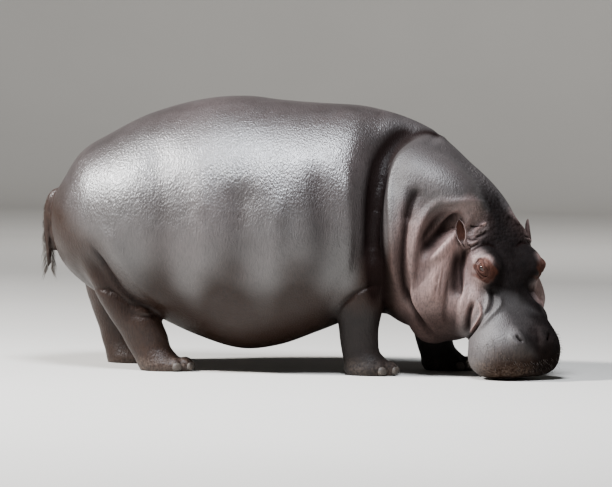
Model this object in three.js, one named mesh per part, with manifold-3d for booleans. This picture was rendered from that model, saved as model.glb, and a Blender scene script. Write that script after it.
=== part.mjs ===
// A hippopotamus as a life-size museum figure: it stands in a slow walking stance and
// grazes, with its head hung to the floor and turned to its right. Millimetres, +Z up,
// +X the way the animal walks, +Y its left. The origin is on the floor, in the middle of
// the figure's box.
//
// Every part of the body is a loft: rings set along a straight axis, whose outlines are
// given by a few named stations and joined by smooth curves. Ellipsoids add the rolls,
// jowls, brows and lips. Manifold-3d joins the forms of one body part and cuts each part
// off its neighbour, so that they meet with a thin gap.
import * as THREE from 'three';
import { LoftGeometry } from 'three/addons/geometries/LoftGeometry.js';
import { mergeVertices } from 'three/addons/utils/BufferGeometryUtils.js';
import Module from 'manifold-3d';

const wasm = await Module();
wasm.setup();

const GAP = 0.6; // between two parts that meet
const DEGREE = Math.PI / 180;
const RIGHT = -1;
const LEFT = 1;

// ---- Driving sizes ----------------------------------------------------------------------

// The trunk along X. top, wide and bottom are heights over the floor of the back line, of
// the broadest line and of the belly line. half is half the breadth there, and side, where
// it is given, shifts a ring to the left.
const TRUNK = [
  { at: -1318, top: 822, wide: 780, bottom: 740, half: 50 },
  { at: -1303, top: 900, wide: 780, bottom: 650, half: 130 },
  { at: -1258, top: 984, wide: 780, bottom: 545, half: 240 },
  { at: -1160, top: 1135, wide: 770, bottom: 447, half: 365 },
  { at: -1010, top: 1232, wide: 755, bottom: 361, half: 465 },
  { at: -800, top: 1339, wide: 740, bottom: 289, half: 535 },
  { at: -530, top: 1417, wide: 725, bottom: 172, half: 578 },
  { at: -300, top: 1439, wide: 712, bottom: 108, half: 592 },
  { at: -100, top: 1420, wide: 715, bottom: 130, half: 588 },
  { at: 106, top: 1407, wide: 730, bottom: 206, half: 560 },
  { at: 300, top: 1398, wide: 760, bottom: 285, half: 498 },
  { at: 430, top: 1375, wide: 800, bottom: 325, half: 352 },
  { at: 560, top: 1336, wide: 850, bottom: 375, half: 258 },
  { at: 680, top: 1282, wide: 930, bottom: 500, half: 190 },
  { at: 735, top: 1240, wide: 1020, bottom: 720, half: 100 },
];

// The neck hangs forward from the withers along its own axis.
const NECK = {
  root: [450, 0, 905],
  pitch: 35,
  stations: [
    { at: 20, top: 370, wide: -20, bottom: -380, half: 270, side: 0 },
    { at: 70, top: 420, wide: -20, bottom: -450, half: 325, side: 0 },
    { at: 260, top: 418, wide: -40, bottom: -470, half: 390, side: 0 },
    { at: 450, top: 392, wide: -60, bottom: -450, half: 280, side: -45 },
    { at: 600, top: 335, wide: -80, bottom: -420, half: 205, side: -95 },
    { at: 720, top: 230, wide: -120, bottom: -380, half: 150, side: -140 },
    { at: 790, top: 60, wide: -140, bottom: -300, half: 85, side: -160 },
  ],
};

// Rolls of thick skin that the turned head squeezes up on the right of the neck.
const NECK_ROLLS = [
  { name: 'collar', centre: [625, -60, 765], radii: [218, 432, 480], yaw: -6, pitch: 3 },
  { name: 'crest', centre: [745, -262, 980], radii: [262, 190, 150], yaw: -3, pitch: 34 },
  { name: 'throat', centre: [778, -125, 515], radii: [190, 312, 360], yaw: -16, pitch: 12 },
];

// The head along its own axis, from the poll between the ears to the lips. top, wide and
// bottom are measured from the flat of the forehead, downwards being negative.
const HEAD = {
  poll: [1066, -222, 771],
  yaw: -46,
  pitch: 62,
  roll: 3,
  stations: [
    { at: -110, top: -100, wide: -220, bottom: -340, half: 100 },
    { at: -50, top: -40, wide: -210, bottom: -420, half: 175 },
    { at: 20, top: -5, wide: -200, bottom: -440, half: 205 },
    { at: 120, top: 5, wide: -195, bottom: -440, half: 210 },
    { at: 235, top: -5, wide: -190, bottom: -430, half: 195 },
    { at: 340, top: -35, wide: -190, bottom: -410, half: 172 },
    { at: 440, top: -50, wide: -190, bottom: -390, half: 165 },
    { at: 530, top: -45, wide: -190, bottom: -390, half: 195 },
    { at: 610, top: -30, wide: -190, bottom: -390, half: 222 },
    { at: 690, top: -45, wide: -185, bottom: -312, half: 218 },
    { at: 745, top: -82, wide: -150, bottom: -208, half: 165 },
    { at: 768, top: -115, wide: -140, bottom: -165, half: 95 },
  ],
};

// Paired forms of the head: distances along it, out to each side, and up from the forehead.
const HEAD_FORMS = [
  { name: 'brow', along: 200, out: 135, up: -25, radii: [90, 72, 74] },
  { name: 'jowl', along: 300, out: 178, up: -245, radii: [185, 112, 160] },
  { name: 'temple', along: 40, out: 128, up: -85, radii: [110, 92, 82] },
  { name: 'cheek', along: 130, out: 135, up: -170, radii: [170, 100, 130] },
  { name: 'snout', along: 500, out: 112, up: -120, radii: [165, 72, 80] },
  { name: 'lip', along: 606, out: 125, up: -182, radii: [126, 118, 150] },
  { name: 'nostril', along: 622, out: 88, up: -40, radii: [62, 44, 40] },
];

const EYE = { along: 217, out: 182, up: 2, radius: 25 };

// An ear is a leaf with a hollow. reach is the way its tip points and open is the way its
// hollow faces, both along the head, outwards and up. The hollow is an ellipsoid that is
// smaller by wall and is shifted out by shift. The right ear is pushed out by the neck's folds.
const EAR = {
  places: { right: { along: 17, out: 258, up: 5 }, left: { along: 11, out: 214, up: -31 } },
  reach: [-0.91, 0.2, 0.35],
  open: [0.22, 0.85, 0.45],
  radii: [66, 32, 21],
  wall: 8,
  shift: 15,
};

// Outlines of the legs: for each height, front and back are along X from the middle of the
// foot, and half is half the breadth.
const FORELEG = [
  { at: 640, front: 60, back: -180, half: 80 },
  { at: 560, front: 105, back: -215, half: 115 },
  { at: 400, front: 75, back: -195, half: 118 },
  { at: 250, front: 42, back: -168, half: 100 },
  { at: 180, front: 40, back: -160, half: 94 },
  { at: 120, front: 48, back: -150, half: 93 },
  { at: 70, front: 92, back: -140, half: 104 },
  { at: 28, front: 112, back: -138, half: 116 },
  { at: 0, front: 105, back: -125, half: 106 },
];
const HINDLEG = [
  { at: 640, front: -100, back: -380, half: 85 },
  { at: 550, front: -60, back: -425, half: 130 },
  { at: 420, front: -65, back: -390, half: 135 },
  { at: 290, front: -42, back: -312, half: 112 },
  { at: 184, front: 4, back: -240, half: 94 },
  { at: 121, front: 22, back: -205, half: 90 },
  { at: 70, front: 66, back: -172, half: 102 },
  { at: 28, front: 112, back: -150, half: 114 },
  { at: 0, front: 105, back: -135, half: 104 },
];

// foot is the middle of the foot on the floor, lean is how far the leg's top is shifted
// along X, and splay how far it is shifted outwards.
const LEGS = [
  { name: 'foreleg_right', side: RIGHT, foot: [410, -255], lean: 0, splay: 40, stations: FORELEG },
  { name: 'foreleg_left', side: LEFT, foot: [775, 235], lean: -85, splay: 30, stations: FORELEG },
  { name: 'hindleg_right', side: RIGHT, foot: [-660, -270], lean: 0, splay: 10, stations: HINDLEG },
  { name: 'hindleg_left', side: LEFT, foot: [-925, 255], lean: 190, splay: 10, stations: HINDLEG },
];

// Four toes to a foot: bearings from straight ahead, outwards positive, distances from the
// foot's middle, and half breadths.
const TOES = [
  { bearing: -52, reach: 88, breadth: 30 },
  { bearing: -17, reach: 112, breadth: 36 },
  { bearing: 17, reach: 112, breadth: 36 },
  { bearing: 52, reach: 88, breadth: 30 },
];
// A toe's and a nail's half sizes, their middle's height, and how far it is from the reach.
const TOE = { reach: -14, length: 46, height: 46, rise: 26 };
const NAIL = { reach: 22, length: 18, breadth: 25, height: 22, rise: 26 };

// The tail hangs down the rump. front and back are along X, half is half its breadth.
const TAIL = [
  { at: 950, front: -1255, back: -1262, half: 20 },
  { at: 920, front: -1280, back: -1328, half: 34 },
  { at: 850, front: -1305, back: -1362, half: 36 },
  { at: 750, front: -1322, back: -1368, half: 32 },
  { at: 650, front: -1324, back: -1362, half: 26 },
  { at: 560, front: -1322, back: -1354, half: 22 },
  { at: 505, front: -1328, back: -1344, half: 12 },
];

// How many vertices go round each form. The whole figure stays under 10,000 triangles.
const AROUND = {
  trunk: 25, neck: 22, roll: 15, head: 20, headForm: 10, leg: 14, toe: 7, tail: 8, eye: 12,
  ear: 12, earHollow: 10,
};
const FLOOR_BLOCK = { side: 4000, deep: 400 };

// ---- Making forms -----------------------------------------------------------------------

// The value of one measure at a place between the stations: a cubic through them, whose
// slope at each station is that of the line between its neighbours.
function measure(stations, key, at) {
  const last = stations.length - 1;
  const slope = (i) => {
    const before = stations[Math.max(i - 1, 0)];
    const after = stations[Math.min(i + 1, last)];
    return (after[key] - before[key]) / (after.at - before.at);
  };
  const past = (station) => Math.abs(at - stations[0].at) > Math.abs(station.at - stations[0].at);
  let i = 0;
  while (i < last - 1 && past(stations[i + 1])) i += 1;
  const from = stations[i];
  const to = stations[i + 1];
  const step = to.at - from.at;
  const t = (at - from.at) / step;
  const rise = to[key] - from[key];
  const bend = t * (1 - t);
  return from[key] + rise * t * t * (3 - 2 * t) + bend * step * ((1 - t) * slope(i) - t * slope(i + 1));
}

// Where the rings of a loft stand: each stretch between two stations is divided evenly.
function places(stations, perStretch) {
  const found = [stations[0].at];
  for (let i = 1; i < stations.length; i += 1) {
    const span = stations[i].at - stations[i - 1].at;
    for (let k = 1; k <= perStretch; k += 1) found.push(stations[i - 1].at + (span * k) / perStretch);
  }
  return found;
}

// A closed mesh as a solid. Vertices in one place are merged, and faces that this
// collapses are dropped.
function solid(geometry) {
  const bare = new THREE.BufferGeometry().setAttribute('position', geometry.getAttribute('position'));
  bare.setIndex(geometry.index);
  const merged = mergeVertices(bare, 1e-3);
  const corners = [];
  const index = merged.index.array;
  for (let i = 0; i < index.length; i += 3) {
    const [a, b, c] = [index[i], index[i + 1], index[i + 2]];
    if (a !== b && b !== c && c !== a) corners.push(a, b, c);
  }
  return new wasm.Manifold(new wasm.Mesh({
    numProp: 3,
    vertProperties: merged.attributes.position.array,
    triVerts: new Uint32Array(corners),
  }));
}

// Whether a ring runs anticlockwise for one who looks back at it from the next ring.
function runsForward(ring, next) {
  const quarter = Math.floor(ring.length / 4);
  const across = ring[quarter].clone().sub(ring[0]);
  const along = ring[2 * quarter].clone().sub(ring[0]);
  const forward = next[0].clone().add(next[2 * quarter]).sub(ring[0]).sub(ring[2 * quarter]);
  return across.cross(along).dot(forward) > 0;
}

// A loft through the stations, made bigger by grow on all sides. place turns a ring's own
// (at, up, out) into a point.
function loft(stations, { around, perStretch = 2, up = 'top', down = 'bottom', grow = 0, place }) {
  const all = places(stations, perStretch);
  const forward = Math.sign(all.at(-1) - all[0]);
  const rings = all.map((at, row) => {
    const end = { 0: -forward, [all.length - 1]: forward }[row] ?? 0;
    const high = measure(stations, up, at) + grow;
    const low = measure(stations, down, at) - grow;
    const half = measure(stations, 'half', at) + grow;
    const middle = 'wide' in stations[0] ? measure(stations, 'wide', at) : (high + low) / 2;
    const side = 'side' in stations[0] ? measure(stations, 'side', at) : 0;
    return Array.from({ length: around }, (_, k) => {
      const angle = (2 * Math.PI * k) / around;
      const rise = Math.cos(angle) * (Math.cos(angle) > 0 ? high - middle : middle - low);
      return place(at + end * grow, middle + rise, side + half * Math.sin(angle));
    });
  });
  if (!runsForward(rings[0], rings[1])) rings.forEach((ring) => ring.reverse());
  return solid(new LoftGeometry(rings, { closed: true, capStart: true, capEnd: true }));
}

// An ellipsoid with its radii along, across and up, set in a frame.
function ellipsoid(radii, matrix, around) {
  const geometry = new THREE.SphereGeometry(1, around, Math.round(around * 0.6));
  geometry.scale(...radii);
  geometry.applyMatrix4(matrix);
  return solid(geometry);
}

// The frame at a point, turned by yaw to the left, then by pitch down, then by roll to the right.
function frameAt(point, { yaw = 0, pitch = 0, roll = 0 }) {
  const turn = new THREE.Euler(roll * DEGREE, pitch * DEGREE, yaw * DEGREE, 'ZYX');
  return new THREE.Matrix4().makeRotationFromEuler(turn).setPosition(...point);
}

const inFrame = (matrix) => (at, up, out) => new THREE.Vector3(at, out, up).applyMatrix4(matrix);

// The main piece of a cut body, without the slivers that a cut may leave.
function mainPiece(made) {
  return made.decompose().sort((one, other) => other.volume() - one.volume())[0];
}

function meshOf(name, made, material) {
  const { numProp, vertProperties, triVerts } = mainPiece(made).getMesh();
  const geometry = new THREE.BufferGeometry();
  geometry.setAttribute('position', new THREE.BufferAttribute(vertProperties, numProp));
  geometry.setIndex(new THREE.BufferAttribute(triVerts, 1));
  geometry.computeVertexNormals();
  const mesh = new THREE.Mesh(geometry, material);
  mesh.name = name;
  return mesh;
}

// ---- The body's parts -------------------------------------------------------------------

const trunkSolid = (grow = 0) => loft(TRUNK, {
  around: AROUND.trunk,
  grow,
  place: (at, up, out) => new THREE.Vector3(at, out, up),
});

function neckSolid(grow = 0) {
  const frame = frameAt(NECK.root, NECK);
  const shape = { around: AROUND.neck, perStretch: 1, grow, place: inFrame(frame) };
  let neck = loft(NECK.stations, shape);
  for (const roll of NECK_ROLLS) {
    const radii = roll.radii.map((r) => r + grow);
    neck = neck.add(ellipsoid(radii, frameAt(roll.centre, roll), AROUND.roll));
  }
  return neck;
}

const headFrame = frameAt(HEAD.poll, HEAD);

// The frame of something that sits on one side of the head.
function seatOnHead({ along, out, up }, side) {
  return headFrame.clone().multiply(new THREE.Matrix4().makeTranslation(along, side * out, up));
}

function headSolid(grow = 0) {
  const shape = { around: AROUND.head, perStretch: 1, grow, place: inFrame(headFrame) };
  let head = loft(HEAD.stations, shape);
  for (const form of HEAD_FORMS) {
    const radii = form.radii.map((r) => r + grow);
    for (const side of [LEFT, RIGHT]) {
      head = head.add(ellipsoid(radii, seatOnHead(form, side), AROUND.headForm));
    }
  }
  return head;
}

const legFrame = (leg) => new THREE.Matrix4().makeTranslation(leg.foot[0], leg.foot[1], 0);

// The forms that stand on one foot's toes; grow makes them bigger on all sides.
function toeForms(leg, { reach, length, breadth, height, rise }, grow = 0) {
  return TOES.map((toe) => {
    const bearing = toe.bearing * DEGREE * leg.side;
    const seat = legFrame(leg).multiply(new THREE.Matrix4().makeRotationZ(bearing));
    seat.multiply(new THREE.Matrix4().makeTranslation(toe.reach + reach, 0, rise));
    const half = breadth ?? toe.breadth;
    return ellipsoid([length + grow, half + grow, height + grow], seat, AROUND.toe);
  });
}

function legSolid(leg, grow = 0) {
  const [footX, footY] = leg.foot;
  const top = leg.stations[0].at;
  const place = (at, front, out) => new THREE.Vector3(
    footX + front + (leg.lean * at) / top,
    footY + leg.side * (out + (leg.splay * at) / top),
    at,
  );
  const shape = { around: AROUND.leg, perStretch: 1, up: 'front', down: 'back', grow, place };
  const shank = loft(leg.stations, shape);
  return toeForms(leg, TOE, grow).reduce((foot, toe) => foot.add(toe), shank);
}

const tailSolid = () => loft(TAIL, {
  around: AROUND.tail,
  perStretch: 1,
  up: 'front',
  down: 'back',
  place: (at, front, out) => new THREE.Vector3(front, out, at),
});

// One ear in the head's frame. Its own axes are its reach, its breadth and the way it opens.
function earSolid(side, place) {
  const reach = new THREE.Vector3(EAR.reach[0], EAR.reach[1] * side, EAR.reach[2]).normalize();
  const open = new THREE.Vector3(EAR.open[0], EAR.open[1] * side, EAR.open[2]);
  open.addScaledVector(reach, -open.dot(reach)).normalize();
  const turn = new THREE.Matrix4().makeBasis(reach, open.clone().cross(reach), open);
  const seat = seatOnHead(place, side).multiply(turn);
  const shifted = seat.clone().multiply(new THREE.Matrix4().makeTranslation(0, 0, EAR.shift));
  const hollow = ellipsoid(EAR.radii.map((r) => r - EAR.wall), shifted, AROUND.earHollow);
  return ellipsoid(EAR.radii, seat, AROUND.ear).subtract(hollow);
}

// All of the space under the floor.
function underFloor() {
  const { side, deep } = FLOOR_BLOCK;
  return solid(new THREE.BoxGeometry(side, side, deep).translate(0, 0, -deep / 2));
}

const hide = new THREE.MeshStandardMaterial({ color: 0x6f6260, roughness: 0.5, metalness: 0 });
const eyeball = new THREE.MeshStandardMaterial({ color: 0x2a1c14, roughness: 0.15, metalness: 0 });
const horn = new THREE.MeshStandardMaterial({ color: 0xb9a892, roughness: 0.6, metalness: 0 });

const hippopotamus = new THREE.Group();
hippopotamus.name = 'hippopotamus';

const floor = underFloor();
const trunkCutter = trunkSolid(GAP);
const neckCutter = neckSolid(GAP);
const headCutter = headSolid(GAP);

const add = (name, made, material) => hippopotamus.add(meshOf(name, made, material));

add('trunk', trunkSolid(), hide);
add('neck', neckSolid().subtract(trunkCutter), hide);
add('head', headSolid().subtract(neckCutter).subtract(trunkCutter), hide);
add('tail', tailSolid().subtract(trunkCutter), hide);

for (const leg of LEGS) {
  const whole = legSolid(leg).subtract(floor);
  add(leg.name, whole.subtract(trunkCutter).subtract(neckCutter).subtract(headCutter), hide);
  const legCutter = legSolid(leg, GAP);
  toeForms(leg, NAIL).forEach((nail, k) => {
    add(`${leg.name}_nail_${k + 1}`, nail.subtract(legCutter), horn);
  });
}

for (const [side, word] of [[RIGHT, 'right'], [LEFT, 'left']]) {
  const { radius } = EYE;
  const ball = ellipsoid([radius, radius, radius], seatOnHead(EYE, side), AROUND.eye);
  add(`eye_${word}`, ball.subtract(headCutter), eyeball);
  const ear = earSolid(side, EAR.places[word]);
  add(`ear_${word}`, ear.subtract(headCutter).subtract(neckCutter), hide);
}

export default hippopotamus;
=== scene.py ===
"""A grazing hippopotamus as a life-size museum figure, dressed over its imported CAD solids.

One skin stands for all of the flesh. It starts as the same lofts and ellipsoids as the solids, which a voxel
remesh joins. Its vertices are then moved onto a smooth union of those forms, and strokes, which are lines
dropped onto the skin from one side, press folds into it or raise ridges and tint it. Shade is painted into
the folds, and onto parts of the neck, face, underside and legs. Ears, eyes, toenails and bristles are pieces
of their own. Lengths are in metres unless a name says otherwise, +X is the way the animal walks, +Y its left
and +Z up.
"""
import logging
import math
from dataclasses import dataclass, field
from enum import Enum
from typing import Sequence

import bmesh
import bpy
import numpy as np
from mathutils import Matrix, Vector
from mathutils.bvhtree import BVHTree


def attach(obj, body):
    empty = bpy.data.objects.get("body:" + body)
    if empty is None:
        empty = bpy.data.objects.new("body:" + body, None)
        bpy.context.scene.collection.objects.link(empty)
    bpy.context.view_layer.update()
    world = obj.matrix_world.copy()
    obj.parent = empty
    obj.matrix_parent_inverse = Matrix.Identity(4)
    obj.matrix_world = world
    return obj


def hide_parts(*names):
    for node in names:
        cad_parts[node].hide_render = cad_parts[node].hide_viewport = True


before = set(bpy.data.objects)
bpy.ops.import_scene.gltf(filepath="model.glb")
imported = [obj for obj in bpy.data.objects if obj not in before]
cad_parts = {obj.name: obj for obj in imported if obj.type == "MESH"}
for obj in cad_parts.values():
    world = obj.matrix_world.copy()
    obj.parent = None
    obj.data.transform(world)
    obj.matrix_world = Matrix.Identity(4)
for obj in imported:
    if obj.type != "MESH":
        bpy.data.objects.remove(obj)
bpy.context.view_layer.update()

logging.basicConfig(level=logging.INFO, format="%(message)s")
log = logging.getLogger("hippopotamus")

MM = 0.001
RIGHT, LEFT = -1, 1
BODY = "root"
SEED = 7

Array = np.ndarray

# ---- Driving sizes, in millimetres as on the CAD model -----------------------------------------------------

# Stations of a loft: at, top, wide, bottom, half and, where it is given, side.
TRUNK_STATIONS = (
    (-1318, 822, 780, 740, 50),
    (-1303, 900, 780, 650, 130),
    (-1258, 984, 780, 545, 240),
    (-1160, 1135, 770, 447, 365),
    (-1010, 1232, 755, 361, 465),
    (-800, 1339, 740, 289, 535),
    (-530, 1417, 725, 172, 578),
    (-300, 1439, 712, 108, 592),
    (-100, 1420, 715, 130, 588),
    (106, 1407, 730, 206, 560),
    (300, 1398, 760, 285, 498),
    (430, 1375, 800, 325, 352),
    (560, 1336, 850, 375, 258),
    (680, 1282, 930, 500, 190),
    (735, 1240, 1020, 720, 100),
)
NECK_ROOT = (450, 0, 905)
NECK_PITCH = 35
NECK_STATIONS = (
    (20, 370, -20, -380, 270, 0),
    (70, 420, -20, -450, 325, 0),
    (260, 418, -40, -470, 390, 0),
    (450, 392, -60, -450, 280, -45),
    (600, 335, -80, -420, 205, -95),
    (720, 230, -120, -380, 150, -140),
    (790, 60, -140, -300, 85, -160),
)
HEAD_POLL = (1066, -222, 771)
HEAD_YAW, HEAD_PITCH, HEAD_ROLL = -46, 62, 3
HEAD_STATIONS = (
    (-110, -100, -220, -340, 100),
    (-50, -40, -210, -420, 175),
    (20, -5, -200, -440, 205),
    (120, 5, -195, -440, 210),
    (235, -5, -190, -430, 195),
    (340, -35, -190, -410, 172),
    (440, -50, -190, -390, 165),
    (530, -45, -190, -390, 195),
    (610, -30, -190, -390, 222),
    (690, -45, -185, -312, 218),
    (745, -82, -150, -208, 165),
    (768, -115, -140, -165, 95),
)
# Outlines of the legs: height, front, back and half.
FORELEG_STATIONS = (
    (0, 105, -125, 106),
    (28, 112, -138, 116),
    (70, 92, -140, 104),
    (120, 48, -150, 93),
    (180, 40, -160, 94),
    (250, 42, -168, 100),
    (400, 75, -195, 118),
    (560, 105, -215, 115),
    (640, 60, -180, 80),
)
HINDLEG_STATIONS = (
    (0, 105, -135, 104),
    (28, 112, -150, 114),
    (70, 66, -172, 102),
    (121, 22, -205, 90),
    (184, 4, -240, 94),
    (290, -42, -312, 112),
    (420, -65, -390, 135),
    (550, -60, -425, 130),
    (640, -100, -380, 85),
)


@dataclass(frozen=True)
class LegPlan:
    """One leg: the middle of its foot, how far its top is shifted along X and outwards, and its outline."""

    name: str
    side: int
    foot: tuple[float, float]
    lean: float
    splay: float
    stations: Sequence[tuple[float, ...]]


LEGS = (
    LegPlan("foreleg_right", RIGHT, (410, -255), 0, 40, FORELEG_STATIONS),
    LegPlan("foreleg_left", LEFT, (775, 235), -85, 30, FORELEG_STATIONS),
    LegPlan("hindleg_right", RIGHT, (-660, -270), 0, 10, HINDLEG_STATIONS),
    LegPlan("hindleg_left", LEFT, (-925, 255), 190, 10, HINDLEG_STATIONS),
)
# The tail hangs down: along is how far below TAIL_TOP, then front, back and half.
TAIL_TOP = 950
TAIL_STATIONS = (
    (0, -1255, -1262, 20),
    (30, -1280, -1328, 34),
    (100, -1305, -1362, 36),
    (200, -1322, -1368, 32),
    (300, -1324, -1362, 26),
    (390, -1322, -1354, 22),
    (445, -1328, -1344, 12),
)
# Places on the head: along from the poll to the nose, out to each side, and up from the forehead.
EYE_PLACE = (217, 182, 2)
EYE_RADIUS = 25
EYE_FACING = (0.12, 0.93, 0.30)
LID_THICKNESS = 6
EAR_ROOTS = {RIGHT: (66, 247, -14), LEFT: (60, 203, -50)}
# Four toes to a foot: bearing from straight ahead in degrees, outwards positive, reach and half breadth.
TOES = ((-52, 88, 30), (-17, 112, 36), (17, 112, 36), (52, 88, 30))
TOE_BACK, TOE_LENGTH, TOE_HEIGHT, TOE_RISE = -14, 46, 46, 26
NAIL_REACH, NAIL_LENGTH, NAIL_BREADTH, NAIL_HEIGHT, NAIL_RISE = 22, 18, 25, 22, 26

# The skin is gridded at ROUGH_VOXEL, halved once over the head, neck and feet, and once more under fine strokes
# and over the nose and eyes.
ROUGH_VOXEL = 22 * MM
FINE_STROKE = 24
PROJECT_STEPS = 5


# ---- Frames and forms --------------------------------------------------------------------------------------


def turned(yaw: float, pitch: float = 0, roll: float = 0) -> Array:
    """A rotation matrix from angles in degrees.

    Args:
        yaw: turn to the left about Z.
        pitch: then down about the turned Y.
        roll: then to the right about the turned X.

    Returns:
        A 3 by 3 matrix whose columns are the turned X, Y and Z.
    """
    z, y, x = (math.radians(angle) for angle in (yaw, pitch, roll))
    about_z = np.array([[math.cos(z), -math.sin(z), 0], [math.sin(z), math.cos(z), 0], [0, 0, 1]])
    about_y = np.array([[math.cos(y), 0, math.sin(y)], [0, 1, 0], [-math.sin(y), 0, math.cos(y)]])
    about_x = np.array([[1, 0, 0], [0, math.cos(x), -math.sin(x)], [0, math.sin(x), math.cos(x)]])
    return about_z @ about_y @ about_x


@dataclass(frozen=True)
class Frame:
    """An affine frame: columns holds its axes for along, across (to the left) and up."""

    origin: Array
    columns: Array

    def out_of(self, local: Array) -> Array:
        """Turns local (along, across, up) rows into world points."""
        return np.asarray(local, float) @ self.columns.T + self.origin

    def into(self, points: Array) -> Array:
        """Turns world points into local (along, across, up) rows."""
        return (points - self.origin) @ np.linalg.inv(self.columns).T

    def at(self, local: Sequence[float], columns: Array | None = None) -> "Frame":
        """A frame set at a local point of this one, turned by columns if they are given."""
        turn = self.columns if columns is None else self.columns @ columns
        return Frame(self.out_of(np.array([local], float))[0], turn)


WORLD = Frame(np.zeros(3), np.eye(3))
NECK_FRAME = Frame(np.array(NECK_ROOT) * MM, turned(0, NECK_PITCH))
HEAD_FRAME = Frame(np.array(HEAD_POLL) * MM, turned(HEAD_YAW, HEAD_PITCH, HEAD_ROLL))


class Form:
    """A closed shape with a rough distance function, negative inside."""

    blend: float = 0.0
    centre: Array
    reach: float

    def distance(self, points: Array) -> Array:
        """Roughly how far each point is outside the form.

        Args:
            points: rows of x, y and z.

        Returns:
            A distance for each row, negative inside.
        """
        raise NotImplementedError

    def bound(self) -> None:
        """Stores a sphere round the form, which rules most points out at little cost."""
        vertices = self.surface()[0]
        self.centre = (vertices.min(0) + vertices.max(0)) / 2
        self.reach = float(np.linalg.norm(vertices - self.centre, axis=1).max())

    def surface(self) -> tuple[Array, list[tuple[int, ...]]]:
        """The form's own mesh, as vertices and faces."""
        raise NotImplementedError


def sphere_grid(rows: int, around: int, margin: float) -> tuple[Array, Array]:
    """Angles of a sphere's rings.

    Args:
        rows: rings from pole to pole.
        around: vertices in a ring.
        margin: how far in radians the first and last rings are from the poles.

    Returns:
        The angle from the pole as a column, and the angle round it as a row.
    """
    polar = np.linspace(margin, math.pi - margin, rows)[:, None]
    return polar, np.linspace(0, 2 * math.pi, around, endpoint=False)[None, :]


def tube_faces(rows: int, around: int) -> list[tuple[int, ...]]:
    """Quads of a closed tube, with a flat cap on each end.

    Args:
        rows: rings along the tube.
        around: vertices in a ring.

    Returns:
        Faces as vertex numbers, ring after ring, and then the caps.
    """
    faces: list[tuple[int, ...]] = []
    for row in range(0, (rows - 1) * around, around):
        for k in range(around):
            after = (k + 1) % around
            faces.append((row + k, row + after, row + around + after, row + around + k))
    faces.append(tuple(reversed(range(around))))
    faces.append(tuple(range((rows - 1) * around, rows * around)))
    return faces


class Loft(Form):
    """Elliptic rings along a straight axis, whose measures are cubics through the stations."""

    def __init__(self, stations: Sequence[tuple[float, ...]], place: Frame, blend: float = 0.0) -> None:
        """Reads the stations.

        Args:
            stations: rows of at, top, wide, bottom, half and perhaps side, in millimetres.
            place: the frame they are set in.
            blend: the length over which the form is joined to those before it.
        """
        table = np.array(stations, float) * MM
        self.at, self.top, self.wide, self.bottom, self.half = table.T[:5]
        self.side = table.T[5] if table.shape[1] > 5 else np.zeros(len(table))
        self.place = place
        self.blend = blend

    def measure(self, values: Array, at: Array) -> Array:
        """One measure between the stations.

        It is a cubic whose slope at a station is that between the station's neighbours.

        Args:
            values: the measure at each station.
            at: places along the axis.

        Returns:
            The measure at each place.
        """
        low = np.clip(np.searchsorted(self.at, at, side="right") - 1, 0, len(self.at) - 2)
        before = np.clip(np.arange(len(values)) - 1, 0, None)
        after = np.clip(np.arange(len(values)) + 1, None, len(values) - 1)
        slope = (values[after] - values[before]) / (self.at[after] - self.at[before])
        step = self.at[low + 1] - self.at[low]
        t = (at - self.at[low]) / step
        rise = values[low + 1] - values[low]
        bend = t * (1 - t)
        return (values[low] + rise * t * t * (3 - 2 * t)
                + bend * step * ((1 - t) * slope[low] - t * slope[low + 1]))

    def distance(self, points: Array) -> Array:
        """The reach past the ellipse at each point's place along the axis, over that reach's slope.

        Args:
            points: rows of x, y and z.

        Returns:
            A distance for each row, negative inside.
        """
        along, across, up = self.place.into(points).T
        at = np.clip(along, self.at[0], self.at[-1])
        middle = self.measure(self.wide, at)
        above, below = self.measure(self.top, at) - middle, middle - self.measure(self.bottom, at)
        rise = np.where(up > middle, above, below)
        half = self.measure(self.half, at)
        x = (across - self.measure(self.side, at)) / half
        y = (up - middle) / rise
        reach = np.hypot(x, y)
        radial = reach * (reach - 1) / np.maximum(np.hypot(x / half, y / rise), 1e-6)
        beyond = np.abs(along - at)
        return np.where(beyond > 0, np.hypot(np.maximum(radial, 0), beyond), radial)

    def surface(self, rows: int = 90, around: int = 96) -> tuple[Array, list[tuple[int, ...]]]:
        """Half ellipses above and below the widest line, ring after ring.

        Args:
            rows: rings along the axis.
            around: vertices in a ring.

        Returns:
            The form's vertices and faces.
        """
        at = np.linspace(self.at[0], self.at[-1], rows)[:, None]
        angle = np.linspace(0, 2 * math.pi, around, endpoint=False)[None, :]
        flat = at[:, 0]
        middle, top, bottom = (self.measure(v, flat)[:, None] for v in (self.wide, self.top, self.bottom))
        half, side = (self.measure(v, flat)[:, None] for v in (self.half, self.side))
        up = middle + np.cos(angle) * np.where(np.cos(angle) > 0, top - middle, middle - bottom)
        across = side + half * np.sin(angle)
        local = np.stack([at + 0 * angle, across, up], -1).reshape(-1, 3)
        return self.place.out_of(local), tube_faces(rows, around)


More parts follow.
